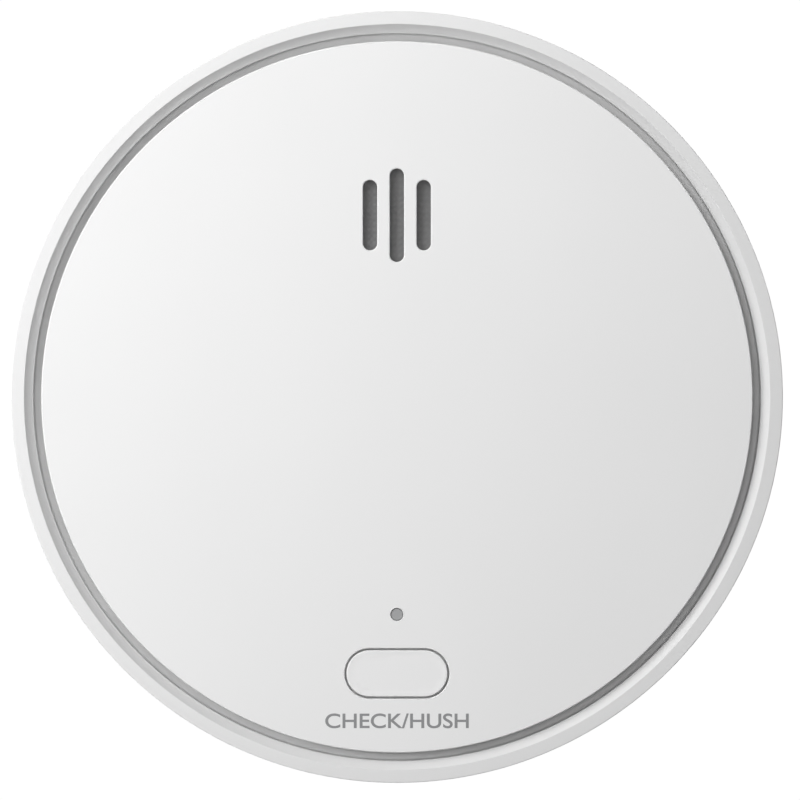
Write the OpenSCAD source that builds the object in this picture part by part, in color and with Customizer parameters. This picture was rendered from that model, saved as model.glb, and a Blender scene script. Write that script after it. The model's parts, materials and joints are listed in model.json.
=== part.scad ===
// Ceiling smoke alarm: a round head with a flat face plate, twist-locked on a mounting bracket.
// Origin: centre of the bracket's ceiling face. +Z points out of the alarm's face, and +Y
// points from the test button towards the sounder slots. All sizes are in millimetres.

/* [Housing] */
// Outside diameter of the head at its rim
body_d = 110; // [108:1:125]
// Height of the whole alarm, from the ceiling to the face plate
body_h = 36; // [35.5:0.5:45]
// Wall of the outer cover
cover_wall = 2.2; // [1.8:0.1:2.6]
// How much the side draws in towards the ceiling
side_draft = 1.4; // [0.6:0.1:2]
// Width of the rim's flat land round the smoke inlet
rim_w = 1.85; // [1.4:0.05:2.6]
// Fall of the rim's land towards its outer edge
rim_fall = 0.1; // [0:0.05:0.5]
// Radius of the rim's outer edge
rim_edge_r = 0.3; // [0.2:0.1:0.8]
// Width of the bevel on the inside of the rim
rim_bevel = 1.3; // [0.8:0.1:1.8]
// Depth of the bevel on the inside of the rim
rim_bevel_h = 1.4; // [0.8:0.1:2]
// Gap between the ceiling and the head's back edge
ceiling_gap = 1.2; // [0.8:0.1:1.5]
// Width of the ring round the head's back
back_ring_w = 4.05; // [3.6:0.05:4.5]

/* [Face plate] */
// Thickness of the face plate
plate_t = 2; // [1.6:0.1:2.4]
// How far the face plate stands proud of the rim
plate_proud = 0.1; // [0:0.1:0.6]
// Rounding of the face plate's edge
plate_edge_r = 0.4; // [0.2:0.1:0.7]
// Number of posts that carry the face plate
post_count = 6; // [4:2:8]
// Diameter of a post
post_d = 5; // [4:0.5:5.5]
// Diameter of the snap pin under a post
pin_d = 2.8; // [2:0.1:3.2]
// Length of the snap pin under a post
pin_l = 4; // [2.5:0.5:5]

/* [Smoke inlet] */
// Width of the ring-shaped slot between face plate and rim
inlet_gap = 1.15; // [0.8:0.05:1.6]
// Height of the duct under the face plate at its edge
duct_h = 2.4; // [2.2:0.1:3.2]
// Thickness of the inlet deck
deck_t = 1.5; // [1.2:0.1:1.8]
// How much the deck falls towards the smoke chamber
deck_fall = 2.2; // [1:0.1:2.4]
// Number of guide vanes in the duct
vane_count = 40; // [24:1:60]
// Thickness of a guide vane
vane_t = 1; // [0.8:0.1:1.4]
// Length of a guide vane
vane_l = 2.8; // [2:0.2:3]

/* [Sounder] */
// Distance of the sounder slots above the centre
sounder_y = 25.9; // [25.5:0.1:26.3]
// Width of a sounder slot
slot_w = 2; // [1.5:0.1:2.4]
// Distance between two sounder slots
slot_pitch = 3.83; // [3.4:0.01:4.2]
// Length of the middle slot
slot_long = 13.3; // [11:0.1:14]
// Length of the outer slots
slot_short = 10; // [7:0.1:10.5]
// Outside diameter of the sounder's resonator
resonator_d = 28; // [27:0.5:28.5]
// Diameter of the piezo disc
piezo_d = 25; // [23:0.5:25]
// Diameter of the ceramic on the piezo disc
ceramic_d = 17; // [12:0.5:20]
// Thickness of the dust cloth behind the slots
cloth_t = 0.4; // [0.3:0.1:0.6]

/* [Test button] */
// Length of the button's face
button_l = 14.4; // [12:0.1:16]
// Width of the button's face
button_w = 6.63; // [5.5:0.01:7.5]
// Gap round the button in the face plate
button_gap = 0.26; // [0.2:0.01:0.4]
// Distance of the button below the centre
button_y = 39.4; // [39:0.1:39.8]
// Travel of the button
button_travel = 0.8; // [0.4:0.1:1]
// Height of the button's face above the face plate
button_proud = 0.1; // [0:0.05:0.4]
// Width of the flange that keeps the button in
button_flange_w = 1.5; // [1:0.1:1.8]
// Diameter of the button's stem
stem_d = 4; // [3:0.1:4.4]

/* [Indicator] */
// Diameter of the indicator window
lens_d = 1.85; // [1.5:0.05:2.4]
// Distance of the indicator below the centre
lens_y = 31; // [30.7:0.1:31.2]
// Diameter of the light pipe inside the head
pipe_d = 2.6; // [2.4:0.1:2.8]

/* [Smoke chamber] */
// Outside diameter of the smoke chamber
chamber_d = 33; // [31:0.5:33]
// Distance of the chamber below the centre
chamber_y = 9; // [8.7:0.1:9.3]
// Gap between the chamber and the well that it stands in
well_gap = 2.5; // [1.5:0.1:2.6]
// Wall of the well
well_wall = 1; // [0.8:0.1:1.2]
// Number of light-trap blades round the chamber
blade_count = 18; // [14:1:20]
// Thickness of a light-trap blade
blade_t = 0.9; // [0.7:0.1:1.1]
// Number of openings round the insect screen
screen_count = 60; // [36:1:72]
// Diameter of the infrared lamp and of the receiver
optic_d = 4; // [3:0.1:4.2]

/* [Battery] */
// Diameter of the lithium cell
cell_d = 17; // [16:0.1:17]
// Length of the lithium cell
cell_l = 34.5; // [32:0.1:34.5]
// Distance of the cell from the centre
cell_x = 31; // [30.6:0.1:31.4]

/* [Circuit board] */
// Gap between the circuit board and the cover's wall
board_gap = 5.9; // [5.4:0.1:7]
// Thickness of the circuit board
board_t = 1.6; // [1.2:0.2:1.6]
// Height of the standoffs under the circuit board
standoff_h = 4.6; // [4.6:0.1:5]

/* [Bracket] */
// Gap between the mounting bracket and the recess in the head's back
bracket_gap = 0.7; // [0.4:0.1:1]
// Thickness of the bracket's plate
bracket_t = 2; // [1.6:0.1:2.2]
// Distance between the two ceiling screws of each pair
screw_pitch = 60; // [56:1:64]
// Width of the bracket's screw holes and slots
screw_hole_d = 4.4; // [3.6:0.1:5]
// Length of the bracket's screw slots
screw_slot_l = 9; // [7:0.5:12]
// Diameter of the bracket's centre hole
centre_hole_d = 8; // [4:0.5:10]

/* [Bayonet] */
// Number of bayonet hooks
hook_count = 4; // [3:1:4]
// Turn from offered up to locked, in degrees
lock_angle = 16; // [14:0.5:18]
// Length of a lug on the head, in degrees
lug_arc = 14; // [10:0.5:14.5]
// Thickness of a lug
lug_t = 2; // [1.6:0.1:2.2]
// Depth of a lug
lug_depth = 2.6; // [2:0.1:3]
// Thickness of a hook's lip
lip_t = 1.6; // [1.2:0.1:1.8]
// Depth of the recess in the head's back
recess_depth = 5.8; // [5.6:0.1:6.2]

/* [Hidden] */
$fn = 96;

// Clearances
fit_gap = 0.15;       // round a part that sits in another
slide_gap = 0.25;     // between faces that slide past each other
touch_gap = 0.05;     // between parts that push each other
join = 0.3;           // how deep a rib or boss runs into the wall it grows from
bevel = 0.3;          // broken edges

// Radii of the head
body_r = body_d / 2;
rim_edge_arc = 80;
groove_r = body_r - rim_w - rim_bevel;
plate_r = groove_r - inlet_gap;
back_r = body_r - side_draft;

// Heights of the head, from the front to the back
face_z = body_h;
plate_z = face_z - plate_t;
rim_z = face_z - plate_proud;
shoulder_z = rim_z - rim_fall - rim_edge_r;
deck_rim_z = plate_z - duct_h;
deck_z = deck_rim_z - deck_fall;
deck_under_z = deck_z - deck_t;
deck_h = deck_rim_z - deck_under_z;
back_z = ceiling_gap;
roof_z = back_z + recess_depth;
shell_t = 1.5;
floor_z = roof_z + shell_t;
board_z = floor_z + standoff_h;
board_top_z = board_z + board_t;

// The inlet deck
deck_flat_r = 30;
vane_inset = 0.5;
vane_top_gap = 0.2;
vane_out_r = plate_r - vane_inset;
vane_in_r = vane_out_r - vane_l;
deck_edge_r = vane_in_r - 2 * bevel;
post_angle = 180 / post_count - 90;
post_r = vane_in_r - 3 * bevel - post_d / 2;
pin_boss_w = 1;

// The bracket and its bayonet
recess_r = back_r - cover_wall - fit_gap - back_ring_w;
bracket_r = recess_r - bracket_gap;
lug_gap = 0.1;
hook_gap = 0.4;
lug_r = recess_r - lug_depth;
hook_r = lug_r - hook_gap;
hook_t = 2.2;
lug_z = bracket_t + lug_gap;
lip_z = lug_z + lug_t + slide_gap;
lip_top_z = lip_z + lip_t;
lug_start = 45;
hook_clear_arc = 1;
hook_stop_arc = 2;
hook_play_arc = 0.5;
pad_t = 0.6;
pad_w = 2.2;
rib_w = 1.2;
rib_h = 1.5;
rib_inset = 2.8;

// The power slider, which the bracket's fork holds while the head turns round it
slider_r = 14;
slider_angle = 180 - lock_angle / 2;
slider_w = 3;
slider_l = 2.6;
slider_flange = 1.2;
slider_flange_t = 1.2;
lever_w = 1.6;
fork_t = 1.6;
fork_top_z = roof_z - 2 * bevel;
knob_z = bracket_t + 1;
rail_t = 1;
rail_gap = 0.2;
power_switch_h = 2.8;
power_switch_wall = 0.6;
lever_gap = 0.4;
lever_top_z = board_z - power_switch_wall - 0.2;

// The test button and its switch
switch_w = 6;
switch_h = 3.5;
plunger_d = 3.4;
plunger_h = 1.5;
plunger_top_z = board_top_z + switch_h + plunger_h;
flange_t = 1;
flange_top_z = plate_z - touch_gap;
collar_t = 1;
collar_h = 2.2;
flange_l = button_l + 2 * button_flange_w;
flange_w = button_w + 2 * button_flange_w;
collar_l = flange_l + 2 * slide_gap + 2 * collar_t;
collar_w = flange_w + 2 * slide_gap + 2 * collar_t;
guide_w = 1.5;
guide_h = 3;
switch_floor = 1;
switch_foot = [1.2, 0.7, 0.3];
switch_foot_at = [3.4, 2.2];

// The indicator
lamp_d = 3;
lamp_h = 4.5;
lamp_foot_w = 0.4;
lamp_foot_h = 1;
lens_recess = 0.15;
pipe_gap = 0.3;
pipe_flange_w = 0.5;
pipe_flange_t = 1.4;
pipe_collar_t = 1.2;
pipe_collar_h = 1.6;

// The sounder
cloth_d = 17;
neck_d = 15.4;
neck_t = 1.6;
resonator_t = 1.6;
neck_gap = 0.3;
foot_w = 6;
piezo_room = 6;
piezo_z = board_top_z + piezo_room;
piezo_seat_w = 1;
piezo_t = 0.3;
ceramic_t = 0.25;
resonator_top_z = plate_z - cloth_t - touch_gap;
cup_top_z = deck_under_z - neck_gap;
cup_edge_r = 1;
spring_turns = 5;
spring_r = 1.1;
spring_wire_d = 0.5;
spring_x = [piezo_d / 2 - 1.6, 5, -5];

// The smoke chamber
chamber_r = chamber_d / 2;
well_r = chamber_r + well_gap;
chamber_top_z = plate_z - 0.6;
chamber_floor_t = 2;
chamber_lid_t = 1.8;
chamber_wall = 1;
chamber_collar_h = 2;
screen_t = 0.4;
screen_r = chamber_r - chamber_wall - fit_gap;
screen_rows = 4;
screen_bar = 0.8;
chamber_floor_z = board_top_z + chamber_floor_t;
chamber_lid_z = chamber_top_z - chamber_lid_t;
well_floor_gap = 0.2;
peg_angles = [90, 180, 0];
peg_d = 2.4;
peg_r = chamber_r - 4;
peg_under = 0.6;
blade_out_r = screen_r - screen_t - 2 * bevel;
blade_l = 4.8;
blade_in_r = blade_out_r - blade_l;
blade_bend = 17;
blade_gap = 0.2;
optic_gap_arc = 22;
shade_tip = 2.4;
shade_l = 6.6;
shade_w = 5.2;
optic_angles = [210, 330];
optic_start_r = 5.8;
optic_l = 6.2;
optic_end_r = optic_start_r + optic_l;
optic_rim_t = 0.8;
optic_rim_w = 0.4;
holder_wall = 1.2;
holder_w = optic_d + 2 * holder_wall;
holder_h = optic_d + 3.4;
optic_z = chamber_floor_z + holder_h / 2 + bevel;
lead_d = 0.5;
lead_slot_w = 1;
lead_gap = 0.15;
lead_pitch = 2.54;
lead_r = optic_end_r + optic_rim_t + 0.6;
lead_under = 0.8;

// The battery
cell_z = floor_z + cell_d / 2;
cell_nub_l = 0.8;
cell_nub_d = 6;
cell_room = 0.6;
tab_t = 0.2;
tab_w = 4;
tab_l = 6;
tab_rise = 2;
cradle_t = 1.6;
cradle_h = 6;
cradle_gap = 0.4;
saddle_w = cell_d - 1;
cradle_end_w = cell_d - 5;
notch_gap = 0.8;
notch_end = 3.2;

// Screws
screw_angles = [50, 170, 290];
screw_inset = 7.2;
screw_r = recess_r - screw_inset;
pilot_gap = 0.05;
screw_d = 2.6;
screw_l = 9;
screw_head_d = 5;
screw_head_h = 1.8;
screw_boss_d = 6.4;
pocket_d = screw_head_d + 0.8;
pocket_wall = 1.2;
pocket_h = 3;
pocket_z = roof_z + pocket_h;
pocket_top_z = pocket_z + shell_t;
cross_w = 0.6;
cross_h = 0.8;
board_screw_angles = [125, 225, 305];
board_r = back_r - cover_wall - board_gap;
board_screw_inset = 4.5;
board_screw_r = board_r - board_screw_inset;
board_screw_d = 2.2;
board_screw_l = 5;
board_screw_head_d = 4;
board_screw_head_h = 1.4;
standoff_d = 5.6;

// The parts on the circuit board: their places and sizes
chip_inset = 15.5;
control_chip_at = [chip_inset - board_r, 8];
control_chip_size = [9.9, 3.9, 1.5];
sensor_chip_at = [chip_inset - board_r, -10];
sensor_chip_size = [4.9, 3.9, 1.5];
chip_lead = [0.4, 1.6, 0.25];
chip_lead_pitch = 1.27;
chip_stand = 0.1;
coil_at = [-14, -33];
coil_d = 7;
coil_h = 6.2;
coil_core_d = 4;
coil_rim_t = 1;
capacitor_at = [[-25, 22], [-31, 16.5]];
capacitor_d = 6.3;
capacitor_h = 7;
chip_part_size = [0.8, 1.6, 0.5];
chip_part_pitch = 3;
chip_rows = [[-24, -14, 6, 90], [-24, -24, 3, 0], [17, -28, 3, 0]];

// Points along an arc round [x, y]
function arc_points(x, y, r, from, to, steps = 6) =
    [for (i = [0:steps]) let (a = from + (to - from) * i / steps) [x + r * cos(a), y + r * sin(a)]];

// Outside radius of the head's side at a height
function side_r(z) = body_r - side_draft * (shoulder_z - z) / (shoulder_z - back_z);

// Height of the deck's top at a distance from the centre
function deck_top_z(r) =
    r <= deck_flat_r ? deck_z
    : r >= deck_edge_r ? deck_rim_z
    : deck_z + deck_fall * (r - deck_flat_r) / (deck_edge_r - deck_flat_r);

// Places its children at a distance and an angle from the centre, without turning them
module polar(r, angle) translate([r * cos(angle), r * sin(angle), 0]) children();

// A cylinder that starts at z
module post(d, z, h) translate([0, 0, z]) cylinder(d = d, h = h);

// A flat shape with two round ends, along X
module stadium(length, width) {
    square([length - width, width], center = true);
    for (side = [-1, 1]) translate([side * (length - width) / 2, 0]) circle(d = width);
}

// A flat ring
module ring(r_in, r_out) {
    difference() {
        circle(r = r_out);
        circle(r = r_in);
    }
}

// A piece of a flat ring, centred on an angle
module ring_piece(r_in, r_out, angle, arc) {
    reach = 2 * r_out;
    intersection() {
        ring(r_in, r_out);
        polygon([
            [0, 0],
            [reach * cos(angle - arc / 2), reach * sin(angle - arc / 2)],
            [reach * cos(angle + arc / 2), reach * sin(angle + arc / 2)]
        ]);
    }
}

// A flat shape raised from z by h
module slab(z, h) translate([0, 0, z]) linear_extrude(height = h) children();

// A key cap with round ends and a rounded top edge, its top at z
module pill(length, width, height, edge_r, z) {
    half = [
        each [[0, z - height], [width / 2, z - height]],
        each arc_points(width / 2 - edge_r, z - edge_r, edge_r, 0, 90),
        [0, z]
    ];
    for (side = [-1, 1])
        translate([side * (length - width) / 2, 0, 0]) rotate_extrude() polygon(half);
    rotate([90, 0, 90]) linear_extrude(height = length - width, center = true) {
        polygon(half);
        mirror([1, 0]) polygon(half);
    }
}

// Cross-section of the outer cover: side, rim, inlet groove and deck
module cover_section() {
    polygon([
        [back_r - bevel, back_z],
        [back_r, back_z + bevel],
        each arc_points(body_r - rim_edge_r, shoulder_z, rim_edge_r, 0, rim_edge_arc),
        [body_r - rim_w, rim_z],
        [groove_r, rim_z - rim_bevel_h],
        each arc_points(groove_r - bevel, deck_rim_z + bevel, bevel, 360, 270, 4),
        [deck_edge_r, deck_rim_z],
        [deck_flat_r, deck_z],
        [0, deck_z],
        [0, deck_z - deck_t],
        [deck_flat_r, deck_z - deck_t],
        [deck_edge_r, deck_rim_z - deck_t],
        [side_r(deck_rim_z - deck_t) - cover_wall, deck_rim_z - deck_t],
        [back_r - cover_wall, back_z]
    ]);
}

// Cover with the side, rim and inlet deck of the head
module outer_cover() color("white") {
    difference() {
        union() {
            rotate_extrude() cover_section();
            slab(deck_rim_z - join, duct_h + join - vane_top_gap) guide_vanes();
            at_posts() post(post_d + 2 * pin_boss_w, deck_rim_z - pin_l - bevel, pin_l + bevel);
            for (angle = screw_angles)
                polar(screw_r, angle)
                    post(screw_boss_d, pocket_top_z, deck_top_z(screw_r) - deck_t / 2 - pocket_top_z);
            translate([0, -button_y, 0])
                post(stem_d + 2 * guide_w, deck_top_z(button_y) - deck_t - guide_h, deck_t + guide_h);
            slab(board_top_z + well_floor_gap, deck_z - board_top_z - well_floor_gap)
                translate([0, -chamber_y]) circle(r = well_r + well_wall);
        }
        translate([0, -chamber_y, 0]) post(2 * well_r, board_top_z, face_z - board_top_z);
        translate([0, sounder_y, 0])
            post(neck_d + 2 * neck_t + 2 * neck_gap, deck_under_z - 1, deck_h + 2);
        translate([0, -lens_y, 0]) post(pipe_d + 2 * pipe_gap, deck_under_z - 1, deck_h + 2);
        translate([0, -button_y, 0])
            post(stem_d + 2 * fit_gap, deck_under_z - guide_h - 1, deck_h + guide_h + 2);
        at_posts() post(pin_d + 2 * fit_gap, deck_rim_z - pin_l - 1, pin_l + 2);
        for (angle = screw_angles)
            polar(screw_r, angle) post(screw_d + 2 * pilot_gap, pocket_top_z - 1, screw_l + 1);
        cell_body(cell_d / 2 + cell_room, cell_l + 2 * cell_room);
    }
}

// Places its children at each post of the face plate
module at_posts() {
    for (i = [0:post_count - 1]) polar(post_r, post_angle + i * 360 / post_count) children();
}

// Plan of the vanes that guide smoke from the inlet into the duct, clear of the button's collar
module guide_vanes() {
    difference() {
        for (i = [0:vane_count - 1])
            rotate(i * 360 / vane_count)
                translate([vane_in_r, -vane_t / 2]) square([vane_l, vane_t]);
        translate([0, -button_y]) stadium(collar_l + 2 * slide_gap, collar_w + 2 * slide_gap);
    }
}

// Round plate with the sounder slots, the indicator hole and the button's opening
module face_plate() color("white") {
    difference() {
        union() {
            rotate_extrude() polygon([
                [0, plate_z],
                [plate_r - bevel, plate_z],
                [plate_r, plate_z + bevel],
                each arc_points(plate_r - plate_edge_r, face_z - plate_edge_r, plate_edge_r, 0, 90),
                [0, face_z]
            ]);
            at_posts() plate_post();
            translate([0, -button_y, 0])
                slab(plate_z - collar_h, collar_h + join) stadium(collar_l, collar_w);
            translate([0, -lens_y, 0]) post(
                pipe_d + 2 * (pipe_flange_w + pipe_collar_t),
                plate_z - pipe_collar_h,
                pipe_collar_h + join
            );
            slab(plate_z - cloth_t, cloth_t + join)
                translate([0, sounder_y]) ring(cloth_d / 2 + fit_gap, cloth_d / 2 + collar_t);
        }
        translate([0, sounder_y, 0]) slab(plate_z - 1, plate_t + 2) sounder_slots();
        translate([0, -lens_y, 0]) {
            post(lens_d + 2 * touch_gap, plate_z - 1, plate_t + 2);
            post(pipe_d + 2 * pipe_flange_w + 2 * touch_gap, plate_z - pipe_collar_h - 1, pipe_collar_h + 1);
        }
        translate([0, -button_y, 0]) {
            slab(plate_z - 1, plate_t + 2)
                stadium(button_l + 2 * button_gap, button_w + 2 * button_gap);
            slab(plate_z - collar_h - 1, collar_h + 1)
                stadium(flange_l + 2 * slide_gap, flange_w + 2 * slide_gap);
        }
    }
}

// Post under the face plate, with the snap pin that holds it in the deck
module plate_post() {
    post(post_d, deck_rim_z, plate_z - deck_rim_z + join);
    post(pin_d, deck_rim_z - pin_l, pin_l + join);
}

// Plan of the three sounder slots
module sounder_slots() {
    for (i = [-1:1])
        translate([i * slot_pitch, 0]) rotate(90) stadium(i == 0 ? slot_long : slot_short, slot_w);
}

// Key with its face in the face plate and its stem on the switch
module test_button() color("whitesmoke") {
    translate([0, -button_y, 0]) {
        pill(button_l, button_w, plate_t + button_proud + join, plate_edge_r, face_z + button_proud);
        slab(flange_top_z - flange_t, flange_t) stadium(flange_l, flange_w);
        post(
            stem_d,
            plunger_top_z + touch_gap,
            flange_top_z - join - plunger_top_z - touch_gap
        );
    }
}

// Clear rod that carries the status lamp's light to the face
module light_pipe() color("lightgray") {
    pipe_z = board_top_z + lamp_h + pipe_gap;
    translate([0, -lens_y, 0]) {
        post(lens_d, plate_z - join, plate_t + join - lens_recess);
        post(pipe_d + 2 * pipe_flange_w, plate_z - pipe_flange_t, pipe_flange_t);
        post(pipe_d, pipe_z, plate_z - pipe_flange_t / 2 - pipe_z);
    }
}

// Cloth that keeps dust out of the sounder
module dust_cloth() color("dimgray")
    translate([0, sounder_y, 0]) post(cloth_d, plate_z - cloth_t, cloth_t);

// Horn that stands on the board and makes the piezo disc loud
module resonator() color([0.15, 0.15, 0.16]) {
    outer = resonator_d / 2;
    neck_in = neck_d / 2;
    translate([0, sounder_y, 0]) difference() {
        rotate_extrude() polygon([
            [piezo_d / 2 + fit_gap, board_top_z],
            [outer, board_top_z],
            each arc_points(outer - cup_edge_r, cup_top_z - cup_edge_r, cup_edge_r, 0, 90, 4),
            [neck_in + neck_t, cup_top_z],
            [neck_in + neck_t, resonator_top_z],
            [neck_in, resonator_top_z],
            [neck_in, cup_top_z - resonator_t],
            [piezo_d / 2 - piezo_seat_w, cup_top_z - resonator_t],
            [piezo_d / 2 - piezo_seat_w, piezo_z + piezo_t],
            [piezo_d / 2 + fit_gap, piezo_z + piezo_t]
        ]);
        for (angle = [30, 150, 270])
            rotate(angle) translate([0, -foot_w / 2, board_top_z - 1])
                cube([outer + 1, foot_w, piezo_z - board_top_z]);
    }
}

// Brass disc of the sounder
module piezo_disc() color("goldenrod")
    translate([0, sounder_y, 0]) post(piezo_d, piezo_z, piezo_t);

// Ceramic layer bonded under the brass disc
module piezo_ceramic() color("white")
    translate([0, sounder_y, 0]) post(ceramic_d, piezo_z - ceramic_t, ceramic_t);

// Springs that connect the disc to the board and press it against its seat
module piezo_springs() color("silver") {
    wire_r = spring_wire_d / 2;
    for (x = spring_x)
        translate([x, sounder_y, board_top_z + wire_r]) coil_spring(
            spring_r,
            wire_r,
            piezo_z - board_top_z - spring_wire_d - (abs(x) < ceramic_d / 2 ? ceramic_t : 0),
            spring_turns
        );
}

// A compression spring of round wire, as one closed mesh
module coil_spring(r, wire_r, length, turns) {
    sides = 6;
    per_turn = 10;
    rings = turns * per_turn;
    points = [
        for (i = [0:rings])
            let (a = 360 * i / per_turn)
            for (k = [0:sides - 1])
                let (b = 360 * (k + 0.5) / sides, reach = r + wire_r * cos(b))
                [reach * cos(a), reach * sin(a), length * i / rings + wire_r * sin(b)]
    ];
    walls = [
        for (i = [0:rings - 1])
            for (k = [0:sides - 1])
                let (n = (k + 1) % sides, at = i * sides)
                [at + k, at + sides + k, at + sides + n, at + n]
    ];
    start = [for (k = [0:sides - 1]) k];
    end = [for (k = [sides - 1:-1:0]) rings * sides + k];
    polyhedron(points = points, faces = concat([start], walls, [end]), convexity = 10);
}

// Floor of the smoke chamber, with the holders of its two optics and the wedge between them
module chamber_base() color([0.1, 0.1, 0.1]) {
    translate([0, -chamber_y, 0]) difference() {
        union() {
            post(chamber_d, board_top_z, chamber_floor_t);
            slab(chamber_floor_z - join, chamber_collar_h + join)
                ring(chamber_r - chamber_wall, chamber_r);
            for (angle = optic_angles)
                rotate(angle) translate([optic_start_r, -holder_w / 2, chamber_floor_z - join])
                    cube([optic_l, holder_w, holder_h + join]);
            slab(chamber_floor_z - join, holder_h + join)
                polygon([
                    [0, -shade_tip],
                    [shade_w / 2, -shade_tip - shade_l],
                    [-shade_w / 2, -shade_tip - shade_l]
                ]);
            for (angle = peg_angles)
                polar(peg_r, angle) post(peg_d, board_z - peg_under, peg_under + board_t + join);
        }
        for (angle = optic_angles) rotate(angle) {
            translate([optic_start_r - 1, 0, optic_z])
                rotate([0, 90, 0]) cylinder(d = optic_d + 2 * fit_gap, h = optic_l + 2);
            translate([lead_r, 0, board_top_z - 1]) translate([-lead_slot_w / 2, -(lead_pitch + lead_slot_w) / 2])
                cube([lead_slot_w, lead_pitch + lead_slot_w, chamber_floor_t + 2]);
        }
    }
}

// Lid of the smoke chamber, with the blades that let smoke through and keep light out
module chamber_cap() color([0.1, 0.1, 0.1]) {
    blade_z = chamber_floor_z + blade_gap;
    translate([0, -chamber_y, 0]) {
        post(chamber_d, chamber_lid_z, chamber_lid_t);
        slab(chamber_lid_z - chamber_collar_h, chamber_collar_h + join)
            ring(chamber_r - chamber_wall, chamber_r);
        slab(blade_z, chamber_lid_z - blade_z + join)
            for (i = [0:blade_count - 1])
                if (!near_optic(blade_angle(i))) rotate(blade_angle(i)) trap_blade();
    }
}

// Angle of a light-trap blade, counted from the gap opposite the optics
function blade_angle(i) = (90 + (i + 0.5) * 360 / blade_count) % 360;

// Whether a blade at this angle would meet an optic's holder
function near_optic(angle) = max([
    for (a = optic_angles) let (turn = (angle - a + 540) % 360 - 180)
        turn > -blade_bend - optic_gap_arc && turn < optic_gap_arc ? 1 : 0
]) == 1;

// Plan of one blade, bent in the middle so that no light passes straight through
module trap_blade() {
    mid_r = (blade_in_r + blade_out_r) / 2;
    mid = [mid_r * cos(blade_bend), mid_r * sin(blade_bend)];
    arm = mid - [blade_in_r, 0];
    shift = [0, blade_t * norm(arm) / arm[0]];
    side = [[blade_in_r, 0], mid, [blade_out_r, 0]];
    polygon([each side, for (i = [2:-1:0]) side[i] + shift]);
}

// Thin ring with narrow openings that lets smoke in and keeps insects out
module insect_screen() color("gray") {
    height = chamber_lid_z - chamber_floor_z;
    row_h = (height - screen_bar * (screen_rows + 1)) / screen_rows;
    opening_w = PI * screen_r / screen_count;
    translate([0, -chamber_y, 0]) difference() {
        slab(chamber_floor_z, height) ring(screen_r - screen_t, screen_r);
        for (row = [0:screen_rows - 1])
            slab(chamber_floor_z + screen_bar + row * (row_h + screen_bar), row_h)
                for (i = [0:screen_count - 1])
                    rotate(i * 360 / screen_count)
                        translate([screen_r - 1, -opening_w / 2]) square([2, opening_w]);
    }
}

// A lamp or receiver lying in its holder, its rim on the holder's back and its two
// leads bent down through the board
module optic(angle) {
    translate([0, -chamber_y, 0]) rotate(angle) {
        translate([optic_start_r + optic_d / 2, 0, optic_z]) {
            sphere(d = optic_d);
            rotate([0, 90, 0]) cylinder(d = optic_d, h = optic_l - optic_d / 2 + join);
        }
        translate([optic_end_r, 0, optic_z])
            rotate([0, 90, 0]) cylinder(d = optic_d + 2 * optic_rim_w, h = optic_rim_t);
        for (side = [-1, 1]) {
            translate([optic_end_r, side * lead_pitch / 2, optic_z])
                rotate([0, 90, 0]) cylinder(d = lead_d, h = lead_r - optic_end_r);
            translate([lead_r, side * lead_pitch / 2, board_z - lead_under])
                cylinder(d = lead_d, h = optic_z + lead_d / 2 - board_z + lead_under);
        }
    }
}

// Infrared lamp of the smoke chamber
module infrared_lamp() color("midnightblue") optic(optic_angles[0]);

// Receiver that sees light scattered by smoke
module light_receiver() color([0.2, 0.2, 0.2]) optic(optic_angles[1]);

// Circuit board, cut away round the battery
module circuit_board() color("darkgreen") {
    notch_y = cell_l / 2 + notch_end;
    slab(board_z, board_t) difference() {
        circle(r = board_r);
        translate([cell_x - cell_d / 2 - notch_gap, -notch_y]) square([2 * board_r, 2 * notch_y]);
        for (angle = screw_angles) polar(screw_r, angle) circle(d = screw_boss_d + 1);
        for (angle = board_screw_angles)
            polar(board_screw_r, angle) circle(d = board_screw_d + 2 * fit_gap);
        translate([0, -chamber_y]) {
            for (angle = peg_angles) polar(peg_r, angle) circle(d = peg_d + 2 * fit_gap);
            for (angle = optic_angles)
                rotate(angle)
                    for (side = [-1, 1])
                        translate([lead_r, side * lead_pitch / 2]) circle(d = lead_d + 2 * lead_gap);
        }
    }
}

// Body of the switch under the test button
module button_switch() color([0.2, 0.2, 0.2]) {
    translate([0, -button_y, 0]) {
        difference() {
            translate([-switch_w / 2, -switch_w / 2, board_top_z]) cube([switch_w, switch_w, switch_h]);
            post(plunger_d + 2 * fit_gap, board_top_z + switch_floor, switch_h);
        }
        for (sx = [-1, 1], sy = [-1, 1])
            translate([sx * switch_foot_at[0], sy * switch_foot_at[1], board_top_z + switch_foot[2] / 2])
                cube(switch_foot, center = true);
    }
}

// Plunger of the switch, moved by the button's stem
module switch_plunger() color([0.1, 0.1, 0.1]) {
    plunger_z = board_top_z + switch_floor + button_travel + 2 * touch_gap;
    translate([0, -button_y, 0]) post(plunger_d, plunger_z, plunger_top_z - plunger_z);
}

// Lamp under the light pipe
module status_lamp() color("tomato") {
    translate([0, -lens_y, 0]) {
        post(lamp_d + 2 * lamp_foot_w, board_top_z, lamp_foot_h);
        post(lamp_d, board_top_z, lamp_h - lamp_d / 2);
        translate([0, 0, board_top_z + lamp_h - lamp_d / 2]) sphere(d = lamp_d);
    }
}

// Slide switch under the board that turns the alarm on
module power_switch() color([0.2, 0.2, 0.2]) {
    slot_w = lever_w + 2 * lever_gap;
    slot_l = slider_r * lock_angle * PI / 180 + slot_w;
    wall = 2 * power_switch_wall;
    translate([-slider_r, 0, board_z - power_switch_h]) difference() {
        translate([-(slot_w + wall) / 2, -(slot_l + wall) / 2, 0])
            cube([slot_w + wall, slot_l + wall, power_switch_h]);
        translate([-slot_w / 2, -slot_l / 2, -1])
            cube([slot_w, slot_l, power_switch_h - power_switch_wall + 1]);
    }
}

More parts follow.
